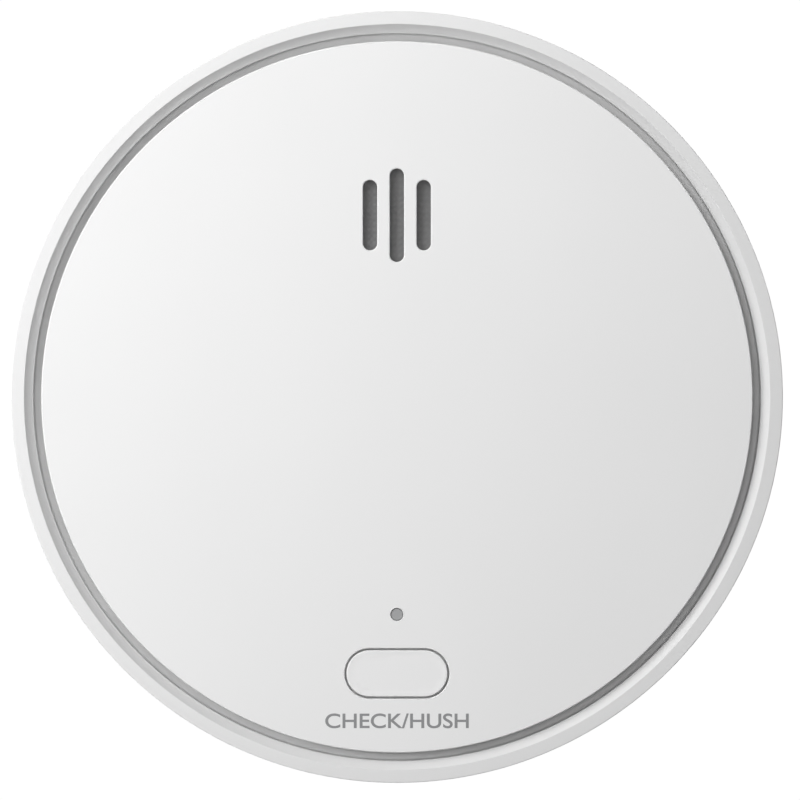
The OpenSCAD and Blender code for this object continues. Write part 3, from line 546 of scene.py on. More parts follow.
def rounded(corners, steps=6):
    """Points of a closed outline with corners (x, z, radius) and support points by each arc."""
    points = []
    for i, (x, z, radius) in enumerate(corners):
        corner = Vector((x, z))
        if radius == 0:
            points.append(corner)
            continue
        to_last = (Vector(corners[i - 1][:2]) - corner).normalized()
        to_next = (Vector(corners[(i + 1) % len(corners)][:2]) - corner).normalized()
        half = to_last.angle(to_next) / 2
        reach = radius / math.tan(half)
        centre = corner + (to_last + to_next).normalized() * radius / math.sin(half)
        start = corner + to_last * reach - centre
        sweep = start.angle_signed(corner + to_next * reach - centre)
        points.append(corner + to_last * (reach + SUPPORT))
        for k in range(steps + 1):
            turned = start.copy()
            turned.rotate(Matrix.Rotation(-sweep * k / steps, 2))
            points.append(centre + turned)
        points.append(corner + to_next * (reach + SUPPORT))
    return points


def lathe(name, corners, material=None, at=(0, 0), segments=96, steps=6):
    """Turns a rounded outline into a closed solid whose axis stands at a place."""
    mesh = bpy.data.meshes.new(name)
    mesh.from_pydata([(p.x, 0, p.y) for p in rounded(corners, steps)], [], [])
    obj = run_tree(new_object(name, mesh), lathe_tree("turn_on_lathe"), {
        "Segments": segments, "Material": material
    })
    obj.data.transform(Matrix.Translation((at[0], at[1], 0)))
    return obj


def join(name, objects):
    """Joins several objects into a new one, which has the first one's materials."""
    bm = bmesh.new()
    for obj in objects:
        bm.from_mesh(obj.data)
    mesh = bpy.data.meshes.new(name)
    bm.to_mesh(mesh)
    bm.free()
    for slot in objects[0].data.materials:
        mesh.materials.append(slot)
    for obj in objects:
        bpy.data.objects.remove(obj)
    joined = new_object(name, mesh)
    mesh.shade_smooth()
    mesh.set_sharp_from_angle(angle=SMOOTH_ANGLE)
    return joined


def combine(base, others, operation):
    """Adds other solids to a base, or cuts them out of it, and removes them."""
    tool = join("tool", others)
    modifier = base.modifiers.new("combine", "BOOLEAN")
    modifier.operation = operation
    modifier.solver = "MANIFOLD"
    modifier.object = tool
    keep_result(base)
    bpy.data.objects.remove(tool)
    tidy_mesh(base.data)
    return base


def stadium(length, width, turned=False, steps=28):
    """Function from an offset to the points of a shape with two round ends, anticlockwise."""

    def points(offset):
        half, radius = (length - width) / 2, width / 2 + offset
        ring = []
        for side in (1, -1):
            for k in range(steps + 1):
                angle = math.radians(-90 + 180 * k / steps) + (0 if side > 0 else math.pi)
                x, y = side * half + radius * math.cos(angle), radius * math.sin(angle)
                ring.append((-y, x) if turned else (x, y))
        return ring

    return points


def disc(radius, segments):
    """Function from an offset to the points of a circle, anticlockwise."""

    def points(offset):
        turns = [math.tau * k / segments for k in range(segments)]
        return [((radius + offset) * math.cos(a), (radius + offset) * math.sin(a)) for a in turns]

    return points


def stack(bm, shape, levels, at=(0, 0), closed=False):
    """Skins a shape through levels of (offset, z), and returns its first and last rings. A closed
    one is skinned between these two as well."""
    rings = [
        [bm.verts.new((x + at[0], y + at[1], z)) for x, y in shape(offset)] for offset, z in levels
    ]
    pairs = list(zip(rings, rings[1:])) + ([(rings[-1], rings[0])] if closed else [])
    for upper, lower in pairs:
        for k in range(len(upper)):
            n = (k + 1) % len(upper)
            bm.faces.new((upper[k], lower[k], lower[n], upper[n]))
    return rings[0], rings[-1]


def fill(bm, rings):
    """Fills the flat area between rings."""
    edges = [
        bm.edges.get((vert, ring[(k + 1) % len(ring)]))
        for ring in rings for k, vert in enumerate(ring)
    ]
    bmesh.ops.triangle_fill(bm, edges=edges, use_beauty=True)


def edge_levels(z, radius, inward, steps=6):
    """Levels from a flat at z round an edge to a wall; inward is 1 for a solid, -1 for a hole."""
    levels = [(-inward * (radius + SUPPORT), z)]
    for k in range(steps + 1):
        angle = math.radians(90 * k / steps)
        across, down = radius * (1 - math.sin(angle)), radius * (1 - math.cos(angle))
        levels.append((-inward * across, z - down))
    levels.append((0, z - radius - SUPPORT))
    return levels


def solid_object(name, bm, material):
    """Makes the mesh in progress an object with one material."""
    mesh = bpy.data.meshes.new(name)
    bm.to_mesh(mesh)
    bm.free()
    mesh.materials.append(material)
    tidy_mesh(mesh)
    return new_object(name, mesh)


def solid_stack(name, shape, levels, material, at=(0, 0)):
    """A solid skinned from a shape through levels, with its two ends filled."""
    bm = bmesh.new()
    for ring in stack(bm, shape, levels, at):
        fill(bm, [ring])
    return solid_object(name, bm, material)


def place(piece, node, stands_for=True):
    """Makes a piece ride with a solid node and stand for it."""
    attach(piece, BODY_OF[node])
    if stands_for:
        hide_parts(node)
    return piece


def soften(node, material, edge):
    """Puts a fine copy of a solid node in its place: flat faces whole, sharp edges rounded."""
    mesh = frame["nodes"][node].data.copy()
    bm = bmesh.new()
    bm.from_mesh(mesh)
    bmesh.ops.remove_doubles(bm, verts=bm.verts, dist=4 * WELD)
    bmesh.ops.dissolve_limit(bm, angle_limit=math.radians(1), verts=bm.verts, edges=bm.edges)
    bm.to_mesh(mesh)
    bm.free()
    mesh.materials.clear()
    mesh.materials.append(material)
    piece = new_object("fine_" + node, mesh)
    bevel = piece.modifiers.new("edges", "BEVEL")
    bevel.width = edge * MM
    bevel.segments = 2
    bevel.limit_method = "ANGLE"
    bevel.angle_limit = math.radians(35)
    keep_result(piece)
    tidy_mesh(piece.data, turn=False)
    piece.modifiers.new("even_shading", "WEIGHTED_NORMAL").keep_sharp = True
    keep_result(piece)
    return place(piece, node)


def centre_of(node):
    """Place of a node's middle on the XY plane."""
    low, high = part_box(node)
    return (low.x + high.x) / 2, (low.y + high.y) / 2


def radius_of(node):
    """Half a node's width along X."""
    low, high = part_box(node)
    return (high.x - low.x) / 2


# ---------------------------------------------------------------- materials
# A grain, thread or line is a size in millimetres, and a pattern's scale comes from it.


def new_material(name, **sockets):
    """A material, its tree, its shader and its Object coordinates; sockets are shader values."""
    material = bpy.data.materials.new(name)
    material.use_nodes = True
    tree = material.node_tree
    shader = tree.nodes["Principled BSDF"]
    for title, value in sockets.items():
        shader.inputs[title.replace("_", " ")].default_value = value
    return material, tree, shader, add(tree, "ShaderNodeTexCoord").outputs["Object"]


def tones(colour, low, high):
    """A hex colour as linear RGBA, made darker and lighter by two factors."""
    return [(*[min(1, part * factor) for part in linear(colour)[:3]], 1) for factor in (low, high)]


def finish(tree, shader, pattern, colours, gloss, height=0, strength=1.0, tint=None):
    """Lets a pattern change a shader's colour, its roughness and, with a height in mm, its relief.
    The colour follows another pattern, the tint, where there is one."""
    tone = add(tree, "ShaderNodeMix", {"data_type": "RGBA"}, {
        0: pattern if tint is None else tint, 6: colours[0], 7: colours[1]
    })
    tree.links.new(tone.outputs[2], shader.inputs["Base Color"])
    rough = add(tree, "ShaderNodeMapRange", inputs={
        "Value": pattern, "To Min": gloss[0], "To Max": gloss[1]
    })
    tree.links.new(rough.outputs[0], shader.inputs["Roughness"])
    if height:
        bump = add(tree, "ShaderNodeBump", inputs={
            "Height": pattern, "Strength": strength, "Distance": height * MM
        })
        tree.links.new(bump.outputs[0], shader.inputs["Normal"])


@made_once("materials")
def moulded_plastic(name, colour, roughness=0.48, grain=0.16, depth=0.006, flow=22.0):
    """Injection-moulded ABS, acetal, styrene or epoxy from a spark-eroded tool: an even, fine grain
    of pits breaks up the gloss, and long, very faint flow marks change the tone."""
    material, tree, shader, spot = new_material(name, IOR=1.53)
    pits = add(tree, "ShaderNodeTexNoise", inputs={
        "Vector": spot, "Scale": 1 / (grain * MM), "Detail": 2.0, "Roughness": 0.6
    }).outputs["Fac"]
    marks = add(tree, "ShaderNodeTexNoise", inputs={
        "Vector": spot, "Scale": 1 / (flow * MM), "Detail": 1.0
    }).outputs["Fac"]
    finish(tree, shader, pits, tones(colour, 0.985, 1.015), (roughness - 0.06, roughness + 0.06),
           depth, strength=0.35, tint=marks)
    return material


@made_once("materials")
def woven_cloth(name, colour, thread=CLOTH_THREAD):
    """Woven polyester filter cloth: round threads cross over and under. The weave sets the gloss
    and relief, and paints the crowns a little lighter and the hollows a little darker, a painted
    highlight and painted shade. Real threads are about 0.1 mm, too fine to show, so they are drawn
    coarser and faint."""
    material, tree, shader, spot = new_material(name, Sheen_Weight=0.15)
    over, under = [
        add(tree, "ShaderNodeTexWave", {"bands_direction": way}, {
            "Vector": spot, "Scale": WAVE / (thread * MM)
        }) for way in ("X", "Y")
    ]
    weave = add(tree, "ShaderNodeMath", {"operation": "MULTIPLY"}, {
        0: over.outputs["Fac"], 1: under.outputs["Fac"]
    }).outputs[0]
    # Painted highlight and shade: the weave makes the tone lighter on the threads' crowns and
    # darker between them.
    finish(tree, shader, weave, tones(colour, 0.93, 1.07), (0.8, 0.9), 0.02)
    return material


@made_once("materials")
def clear_resin(name, colour, roughness=0.2, passing=0.25, haze=0.6):
    """Moulded clear polycarbonate or epoxy with a tint: it lets light through, shines softly, and a
    haze inside changes its tone a little."""
    material, tree, shader, spot = new_material(name, IOR=1.57, Transmission_Weight=passing)
    cloud = add(tree, "ShaderNodeTexNoise", inputs={
        "Vector": spot, "Scale": 1 / (haze * MM)
    }).outputs["Fac"]
    finish(tree, shader, cloud, tones(colour, 0.92, 1.08), (roughness - 0.05, roughness + 0.05))
    return material


@made_once("materials")
def pad_ink(name, colour, thin=0.4):
    """Pad-printed ink: matt, an even film that thins a little in places."""
    material, tree, shader, spot = new_material(name)
    film = add(tree, "ShaderNodeTexNoise", inputs={
        "Vector": spot, "Scale": 1 / (thin * MM)
    }).outputs["Fac"]
    finish(tree, shader, film, tones(colour, 0.94, 1.06), (0.55, 0.65))
    return material


@made_once("materials")
def rolled_metal(name, colour, roughness=0.28, line=0.08, depth=0.004):
    """Cold-rolled sheet: bright metal with fine lines along the way it was rolled. Real lines are
    about 0.02 mm wide, too fine to show, so they are drawn coarser."""
    material, tree, shader, spot = new_material(name, Metallic=1.0)
    drawn_out = (0.04, 1, 1)
    along = add(tree, "ShaderNodeMapping", inputs={"Vector": spot, "Scale": drawn_out}).outputs[0]
    lines = add(tree, "ShaderNodeTexNoise", inputs={
        "Vector": along, "Scale": 1 / (line * MM), "Detail": 3.0
    }).outputs["Fac"]
    gloss = roughness - 0.08, roughness + 0.1
    finish(tree, shader, lines, tones(colour, 0.94, 1.04), gloss, depth)
    return material


@made_once("materials")
def plated_steel(name, colour, roughness=0.24, grain=0.3):
    """Nickel-plated steel: bright, with the slightly uneven skin of barrel plating and small
    tumbling marks."""
    material, tree, shader, spot = new_material(name, Metallic=1.0)
    skin = add(tree, "ShaderNodeTexNoise", inputs={
        "Vector": spot, "Scale": 1 / (grain * MM), "Detail": 4.0
    }).outputs["Fac"]
    gloss = roughness - 0.08, roughness + 0.14
    finish(tree, shader, skin, tones(colour, 0.93, 1.05), gloss, 0.008)
    return material


@made_once("materials")
def solder_mask(name, colour, track=1.2, area=9.0):
    """Glass fibre board under solder mask: a glossy film that lies a little higher and looks paler
    over the copper tracks, which run one way in one area and across it in the next. Real tracks are
    about 0.3 mm wide; they are drawn coarser to show."""
    material, tree, shader, spot = new_material(name, IOR=1.5)
    patch = add(tree, "ShaderNodeTexVoronoi", {
        "distance": "CHEBYCHEV", "voronoi_dimensions": "2D"
    }, {"Vector": spot, "Scale": 1 / (area * MM)})
    way = add(tree, "ShaderNodeSeparateColor", inputs={0: patch.outputs["Color"]}).outputs[0]
    way = add(tree, "ShaderNodeMath", {"operation": "GREATER_THAN"}, {0: way, 1: 0.5}).outputs[0]
    across, along = [
        add(tree, "ShaderNodeTexWave", {"bands_direction": axis}, {
            "Vector": spot, "Scale": WAVE / (track * MM)
        }).outputs["Fac"] for axis in ("X", "Y")
    ]
    bands = add(tree, "ShaderNodeMix", inputs={0: way, 2: across, 3: along}).outputs[0]
    copper = add(tree, "ShaderNodeMapRange", inputs={
        "Value": bands, "From Min": 0.55, "From Max": 0.7
    }).outputs[0]
    finish(tree, shader, copper, tones(colour, 0.8, 1.5), (0.3, 0.22), 0.035)
    return material


@made_once("materials")
def shrink_sleeve(name, colour, ripple=3.0):
    """Shrunk PVC sleeve: a thin glossy film with faint ripples where it drew tight."""
    material, tree, shader, spot = new_material(name, IOR=1.54)
    drawn = add(tree, "ShaderNodeTexNoise", inputs={
        "Vector": spot, "Scale": 1 / (ripple * MM), "Detail": 2.0
    }).outputs["Fac"]
    finish(tree, shader, drawn, tones(colour, 0.96, 1.05), (0.22, 0.34), 0.03)
    return material


@made_once("materials")
def wound_wire(name, colour, wire=0.5):
    """Enamelled copper wire wound on a ferrite core: even turns side by side, with gloss and relief
    that follow the turns. Each turn's colour has a painted highlight on its crown, and painted
    shade lies between the turns. Real wire is about 0.2 mm thick; it is drawn coarser to show."""
    material, tree, shader, spot = new_material(name, Metallic=0.7)
    turns = add(tree, "ShaderNodeTexWave", {"bands_direction": "Z"}, {
        "Vector": spot, "Scale": 2 * WAVE / (wire * MM)
    }).outputs["Fac"]
    # Painted highlight and shade: the bands make each turn's colour lighter on its crown and darker
    # beside it.
    finish(tree, shader, turns, tones(colour, 0.55, 1.15), (0.45, 0.28), 0.08)
    return material


@made_once("materials")
def fired_ceramic(name, colour, roughness=0.4, grain=0.12, shine=0.0):
    """Fired ceramic, pressed from powder: a fine, even speckle, drawn coarser than its real grains
    of 0.01 mm so that it shows; a silver layer on it gives some metal shine."""
    material, tree, shader, spot = new_material(name, IOR=1.6, Metallic=shine)
    speckle = add(tree, "ShaderNodeTexVoronoi", inputs={
        "Vector": spot, "Scale": 1 / (grain * MM)
    }).outputs["Distance"]
    gloss = roughness - 0.06, roughness + 0.08
    finish(tree, shader, speckle, tones(colour, 0.94, 1.08), gloss, 0.006)
    return material


# ---------------------------------------------------------------- pieces


class ALARM_OT_stage(bpy.types.Operator):
    """Floor, room, lights and camera."""

    bl_idname = "alarm.stage"
    bl_label = "Stage"

    def execute(self, context):
        look = context.scene.alarm_stage
        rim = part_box("outer_cover")[1].z
        scene = context.scene
        scene.view_settings.view_transform = "Standard"

        # A white sweep just under the alarm's back. It glows and takes no light, so no shadow shows
        # on it, and from below it is clear.
        floor_drop = 0.2 * MM
        paper = bpy.data.materials.new("white_sweep")
        paper.use_nodes = True
        tree = paper.node_tree
        tree.nodes.clear()
        glow = add(tree, "ShaderNodeEmission", inputs={
            "Color": WHITE, "Strength": look.floor_glow
        }).outputs[0]
        clear = add(tree, "ShaderNodeBsdfTransparent").outputs[0]
        back = add(tree, "ShaderNodeNewGeometry").outputs["Backfacing"]
        side = add(tree, "ShaderNodeMixShader", inputs={0: back, 1: glow, 2: clear}).outputs[0]
        add(tree, "ShaderNodeOutputMaterial", inputs={"Surface": side})
        bm = bmesh.new()
        bmesh.ops.create_circle(bm, cap_ends=True, segments=64, radius=look.floor_radius)
        floor = solid_object("studio_floor", bm, paper)
        floor.data.transform(Matrix.Translation((0, 0, -floor_drop)))

        # The room is white to the camera alone, and gives the alarm no light.
        world = bpy.data.worlds.new("white_room")
        world.use_nodes = True
        tree = world.node_tree
        walls = tree.nodes["Background"]
        walls.inputs["Color"].default_value = WHITE
        seen = add(tree, "ShaderNodeLightPath").outputs["Is Camera Ray"]
        tree.links.new(seen, walls.inputs["Strength"])
        scene.world = world

        aim = Vector((0, 0, rim))
        turn, reach = look.key_angle, look.key_reach
        for name, size, power, spot in (
            ("key_light", look.key_size, look.key_power,
             (reach * math.cos(turn), reach * math.sin(turn), look.key_height)),
            ("top_light", look.top_size, look.top_power, (0, 0, look.top_height)),
        ):
            light = bpy.data.lights.new(name, "AREA")
            light.size = size
            light.energy = power
            lamp = new_object(name, light)
            lamp.location = spot
            lamp.rotation_euler = (aim - lamp.location).to_track_quat("-Z", "Y").to_euler()
            lamp.visible_camera = False

        camera = bpy.data.cameras.new("camera")
        camera.sensor_width = 36
        camera.lens = camera.sensor_width * look.camera_height / look.view_width
        camera.clip_start, camera.clip_end = 0.01, 20
        eye = new_object("camera", camera)
        eye.location = (look.camera_x, look.camera_y, rim + look.camera_height)
        scene.camera = eye
        return {"FINISHED"}


def head_frame(context):
    """Radii and heights of the head, from the solid parts and the head's sizes."""
    head = context.scene.alarm_head
    deck_flat, vane_inset, vane_space, post_space = 30 * MM, 0.5 * MM, 0.6 * MM, 0.3 * MM
    cover_low, cover_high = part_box("outer_cover")
    plate_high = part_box("face_plate")[1]
    at = SimpleNamespace(body_r=cover_high.x, rim_z=cover_high.z, back_z=cover_low.z)
    at.plate_r, at.face_z = plate_high.x, plate_high.z
    at.groove_r = at.body_r - head.rim_width - head.rim_bevel
    at.back_r = at.body_r - head.side_draft
    at.plate_z = at.face_z - head.plate_thickness
    at.rim_deck_z = at.plate_z - head.duct_height
    at.deck_z = at.rim_deck_z - head.deck_fall
    at.deck_flat_r = deck_flat
    at.vane_out_r = at.plate_r - vane_inset
    at.deck_edge_r = at.vane_out_r - head.vane_length - vane_space
    at.post_r = at.deck_edge_r - post_space - head.post_diameter / 2
    at.post_start = math.pi / head.post_count - math.pi / 2
    at.board_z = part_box("circuit_board")[1].z
    at.pin_z = at.rim_deck_z - head.pin_length
    return at


def deck_top(at, radius):
    """Height of the deck's top at a distance from the axis."""
    share = (radius - at.deck_flat_r) / (at.deck_edge_r - at.deck_flat_r)
    return at.deck_z + (at.rim_deck_z - at.deck_z) * min(1, max(0, share))


def peg(name, diameter, low, high, material=None, at=(0, 0), edge=0.0, segments=48):
    """A round peg between two heights, its ends' edges rounded."""
    radius = diameter / 2
    corners = [(0, high, 0), (0, low, 0), (radius, low, edge), (radius, high, edge)]
    return lathe(name, corners, material, at, segments, steps=3)


def tube(name, inner, outer, low, high, material=None, at=(0, 0), edge=0.0, segments=96):
    """A round tube between two heights, its edges rounded."""
    corners = [(inner, low, edge), (outer, low, edge), (outer, high, edge), (inner, high, edge)]
    return lathe(name, corners, material, at, segments, steps=3)


def round_axis(obj, count, start, material):
    """Repeats a piece evenly round the head's axis."""
    return run_tree(obj, ring_tree("repeat_round_axis"), {
        "Count": count, "Start": start, "Material": material
    })


class ALARM_OT_cover(bpy.types.Operator):
    """Outer cover: side, rim, groove and deck in one piece, with its well, bosses and vanes."""

    bl_idname = "alarm.cover"
    bl_label = "Outer cover"

    def execute(self, context):
        head, at = context.scene.alarm_head, head_frame(context)
        white = moulded_plastic("moulded_white_abs", context.scene.alarm_colours.cover_abs)

        # The turned shell. The deck bends down from its edge, and the side has only a share of its
        # draft where the deck meets it.
        back_edge, land_edge, lip_edge, groove_edge = 0.3 * MM, 0.12 * MM, 0.06 * MM, 0.3 * MM
        high_bend, low_bend, inside_edge, mouth_edge = 0.8 * MM, 2 * MM, 0.5 * MM, 0.2 * MM
        draft_share = 0.2
        under, low_under = at.rim_deck_z - head.deck_thickness, at.deck_z - head.deck_thickness
        inside_r = at.body_r - head.wall - head.side_draft * draft_share
        shell = lathe("outer_cover_shell", [
            (at.back_r, at.back_z, back_edge),
            (at.body_r, at.rim_z - head.rim_fall, head.rim_edge),
            (at.body_r - head.rim_width, at.rim_z, land_edge),
            (at.groove_r, at.rim_z - head.rim_bevel_depth, lip_edge),
            (at.groove_r, at.rim_deck_z, groove_edge),
            (at.deck_edge_r, at.rim_deck_z, high_bend),
            (at.deck_flat_r, at.deck_z, low_bend),
            (0, at.deck_z, 0),
            (0, low_under, 0),
            (at.deck_flat_r, low_under, low_bend),
            (at.deck_edge_r, under, high_bend),
            (inside_r, under, inside_edge),
            (at.back_r - head.wall, at.back_z, mouth_edge),
        ], white, segments=head.segments)

        # What stands on the deck's back: bosses for the screws, some way in from their heads,
        # collars for the plate's pins, a guide for the key's stem and the chamber's well.
        chamber, sounder = centre_of("chamber_base"), centre_of("dust_cloth")
        window, key = centre_of("light_pipe"), centre_of("test_button")
        screws = head.screw_count, head.screw_start, white
        posts = head.post_count, at.post_start, white
        screw_at, post_at = (head.screw_reach, 0), (at.post_r, 0)
        boss_width, boss_gap, pilot_width, pilot_depth = 6.4 * MM, 3.3 * MM, 2.7 * MM, 9 * MM
        guide_width, guide_depth, collar_wall, pin_room = 7 * MM, 3 * MM, 2 * MM, 0.3 * MM
        well_r, well_space = radius_of("chamber_cap") + head.well_gap, 0.2 * MM
        collar_width = head.pin_diameter + 2 * collar_wall
        boss_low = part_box("housing_screws")[0].z + boss_gap
        boss_high = deck_top(at, head.screw_reach) - head.deck_thickness / 2
        guide_z = deck_top(at, math.hypot(*key))
        bosses = peg("bosses", boss_width, boss_low, boss_high, at=screw_at)
        collars = peg("collars", collar_width, at.pin_z - pin_room, at.rim_deck_z, at=post_at)
        for solid in (
            round_axis(bosses, *screws),
            round_axis(collars, *posts),
            peg("guide", guide_width, guide_z - head.deck_thickness - guide_depth, guide_z, at=key),
            peg("well", 2 * (well_r + head.well_wall), at.board_z + well_space,
                at.deck_z - well_space, at=chamber, segments=128),
        ):
            combine(shell, [solid], "UNION")

        # The holes: each runs past what it cuts.
        past, through = 1 * MM, 3 * MM
        neck_r, pipe_r, stem_r = 9.6 * MM, 1.6 * MM, 2.15 * MM
        pins = peg("pins", head.pin_diameter + pin_room, at.pin_z - past, at.plate_z, at=post_at)
        pilots = peg("pilots", pilot_width, boss_low - past, boss_low + pilot_depth, at=screw_at)
        combine(shell, [
            round_axis(pins, *posts),
            round_axis(pilots, *screws),
            peg("well", 2 * well_r, at.board_z, at.face_z, at=chamber, segments=128),
            peg("neck", 2 * neck_r, at.deck_z - through, at.face_z, at=sounder, segments=96),
        ], "DIFFERENCE")
        combine(shell, [
            peg("pipe", 2 * pipe_r, at.deck_z - through, at.face_z, at=window),
            peg("stem", 2 * stem_r, at.deck_z - 2 * through, at.face_z, at=key),
        ], "DIFFERENCE")
        place(shell, "outer_cover")

        # The vanes stop short of the plate, and their feet stand in the deck.
        vane_gap, vane_edge, vane_foot = 0.2 * MM, 0.2 * MM, 0.3 * MM
        vane = solid_stack("guide_vanes", stadium(head.vane_length, head.vane_thickness, steps=8), [
            *edge_levels(at.plate_z - vane_gap, vane_edge, 1, steps=3),
            (0, at.rim_deck_z - vane_foot),
        ], white, at=(at.vane_out_r - head.vane_length / 2, 0))
        place(round_axis(vane, head.vane_count, 0.0, white), "outer_cover")
        return {"FINISHED"}


class ALARM_OT_face_plate(bpy.types.Operator):
    """Face plate with rounded edges, sounder slots, indicator hole and key opening."""

    bl_idname = "alarm.face_plate"
    bl_label = "Face plate"

    def execute(self, context):
        head, face, at = context.scene.alarm_head, context.scene.alarm_face, head_frame(context)
        white = moulded_plastic("moulded_white_face", context.scene.alarm_colours.face_abs)
        top_z, under_z = at.face_z, at.plate_z
        key, window = centre_of("test_button"), centre_of("light_pipe")
        sounder = centre_of("dust_cloth")

        # The plate and its openings.
        back_edge, lens_gap, lens_edge = 0.3 * MM, 0.05 * MM, 0.1 * MM
        bm = bmesh.new()
        first, last = stack(bm, disc(at.plate_r, head.segments), [
            *edge_levels(top_z, head.plate_edge, 1, steps=8),
            (0, under_z + back_edge),
            (-back_edge, under_z),
            (-back_edge - SUPPORT, under_z),
        ])
        tops, unders = [first], [last]
        opening_size = face.key_length + 2 * face.key_gap, face.key_width + 2 * face.key_gap
        holes = [
            (stadium(*opening_size, steps=48), key, face.opening_edge),
            (disc(face.lens_diameter / 2 + lens_gap, 48), window, lens_edge),
        ]
        for i in (-1, 0, 1):
            slot = stadium(face.slot_short if i else face.slot_long, face.slot_width, turned=True)
            holes.append((slot, (sounder[0] + i * face.slot_pitch, sounder[1]), face.slot_edge))
        for shape, centre, edge in holes:
            first, last = stack(bm, shape, [
                *edge_levels(top_z, edge, -1),
                (0, under_z + SUPPORT),
                (0, under_z),
                (SUPPORT, under_z),
            ], centre)
            tops.append(first)
            unders.append(last)
        fill(bm, tops)
        fill(bm, unders)

        # The collar under the plate that guides the key's flange. All that stands there reaches a
        # little way into the plate.
        reach_in, flange_room, collar_depth = 0.3 * MM, 0.25 * MM, 2.2 * MM
        room, wall, edge = face.flange_width + flange_room, 1 * MM, 0.2 * MM
        high, low = under_z + reach_in, under_z - collar_depth
        stack(bm, stadium(face.key_length, face.key_width, steps=32), [
            (room + wall, high),
            (room + wall, low + edge),
            (room + wall - edge, low),
            (room + edge, low),
            (room, low + edge),
            (room, high),
        ], key, closed=True)
        plate = solid_object("plate", bm, white)

        # The posts with their snap pins, and the rings that hold the light pipe and the cloth.
        pin_edge, shoulder_edge = 0.5 * MM, 0.15 * MM
        post = lathe("posts", [
            (0, high, 0),
            (0, at.pin_z, 0),
            (head.pin_diameter / 2, at.pin_z, pin_edge),
            (head.pin_diameter / 2, at.rim_deck_z, 0),
            (head.post_diameter / 2, at.rim_deck_z, shoulder_edge),
            (head.post_diameter / 2, high, 0),
        ], white, at=(at.post_r, 0), segments=48)
        pipe_r, cloth_r = radius_of("light_pipe"), radius_of("dust_cloth")
        rings = [
            tube(name, radius + gap, radius + wall, under_z - depth, high, white, centre, edge)
            for name, radius, gap, wall, depth, centre, edge in (
                ("pipe_collar", pipe_r, 0.05 * MM, 1.2 * MM, 1.6 * MM, window, 0.15 * MM),
                ("cloth_ring", cloth_r, 0.15 * MM, 1 * MM, 0.4 * MM, sounder, 0.1 * MM),
            )
        ]
        posts = round_axis(post, head.post_count, at.post_start, white)
        place(join("face_plate_shell", [plate, posts, *rings]), "face_plate")
        return {"FINISHED"}


class ALARM_OT_test_key(bpy.types.Operator):
    """Test key: a pill with a softly rounded edge, its flange and its stem."""

    bl_idname = "alarm.test_key"
    bl_label = "Test key"

    def execute(self, context):
        face, at = context.scene.alarm_face, head_frame(context)
        colour = context.scene.alarm_colours.key_abs
        pale = moulded_plastic("moulded_key_abs", colour, roughness=0.42)
        low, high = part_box("test_button")
        centre = centre_of("test_button")

        # The face is sunk within a narrow lip, and the flange hangs just under the plate.
        dish_flat, dish_foot, lip = 1.1 * MM, 0.75 * MM, 0.4 * MM
        flange_drop, flange_height, flange_edge = 0.05 * MM, 1 * MM, 0.1 * MM
        flange_z = at.plate_z - flange_drop
        key = solid_stack("key", stadium(face.key_length, face.key_width, steps=48), [
            (-dish_flat, high.z - face.key_dish),
            (-dish_foot, high.z - face.key_dish),
            (-lip, high.z),
            *edge_levels(high.z, face.key_edge, 1),
            (0, flange_z),
            (face.flange_width - flange_edge, flange_z),
            (face.flange_width, flange_z - flange_edge),
            (face.flange_width, flange_z - flange_height + flange_edge),
            (face.flange_width - flange_edge, flange_z - flange_height),
        ], pale, centre)
        stem_width, stem_sunk, stem_edge = 4 * MM, 0.7 * MM, 0.2 * MM
        stem = peg("stem", stem_width, low.z, flange_z - stem_sunk, pale, centre, stem_edge,
                   segments=64)
        place(join("test_key_shell", [key, stem]), "test_button")
        return {"FINISHED"}


class ALARM_OT_indicator(bpy.types.Operator):
    """Light pipe whose end shows in the face as the indicator window."""

    bl_idname = "alarm.indicator"
    bl_label = "Indicator window"

    def execute(self, context):
        face, at = context.scene.alarm_face, head_frame(context)
        colour = context.scene.alarm_colours.window
        milky = clear_resin("milky_polycarbonate", colour, roughness=0.45)
        low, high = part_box("light_pipe")
        flange_width, flange_height, edge = 0.5 * MM, 1.4 * MM, 0.1 * MM
        lens_r, flange_r = face.lens_diameter / 2, radius_of("light_pipe")
        pipe_r, flange_z = flange_r - flange_width, at.plate_z - flange_height
        pipe = lathe("indicator_pipe", [
            (0, high.z, 0),
            (0, low.z, 0),
            (pipe_r, low.z, edge),
            (pipe_r, flange_z, 0),
            (flange_r, flange_z, edge),
            (flange_r, at.plate_z, edge),
            (lens_r, at.plate_z, 0),
            (lens_r, high.z, edge),
        ], milky, at=centre_of("light_pipe"), segments=64)
        place(pipe, "light_pipe")
        return {"FINISHED"}


class ALARM_OT_lettering(bpy.types.Operator):
    """Plain printed word under the test key."""

    bl_idname = "alarm.lettering"
    bl_label = "Printed label"

    def execute(self, context):
        face, at = context.scene.alarm_face, head_frame(context)
        half_height, bolder = 0.5, 0.012    # in the font's own unit
        curve = bpy.data.curves.new("label", "FONT")
        curve.body = face.label_text
        curve.extrude = half_height
        curve.offset = bolder
        text = new_object("label", curve)
        mesh = evaluated_mesh(text)
        bpy.data.objects.remove(text)
        xs, ys = [v.co.x for v in mesh.vertices], [v.co.y for v in mesh.vertices]
        middle = Vector(((min(xs) + max(xs)) / 2, (min(ys) + max(ys)) / 2, -half_height))
        scale = Matrix.Diagonal((
            face.label_width / (max(xs) - min(xs)),
            face.label_height / (max(ys) - min(ys)),
            face.ink_thickness,
            1,
        ))
        spot = Matrix.Translation((0, -face.label_drop, at.face_z))
        mesh.transform(spot @ scale @ Matrix.Translation(-middle))
        mesh.materials.clear()
        mesh.materials.append(pad_ink("grey_pad_ink", context.scene.alarm_colours.ink))
        place(new_object("printed_label", mesh), "face_plate", stands_for=False)
        return {"FINISHED"}


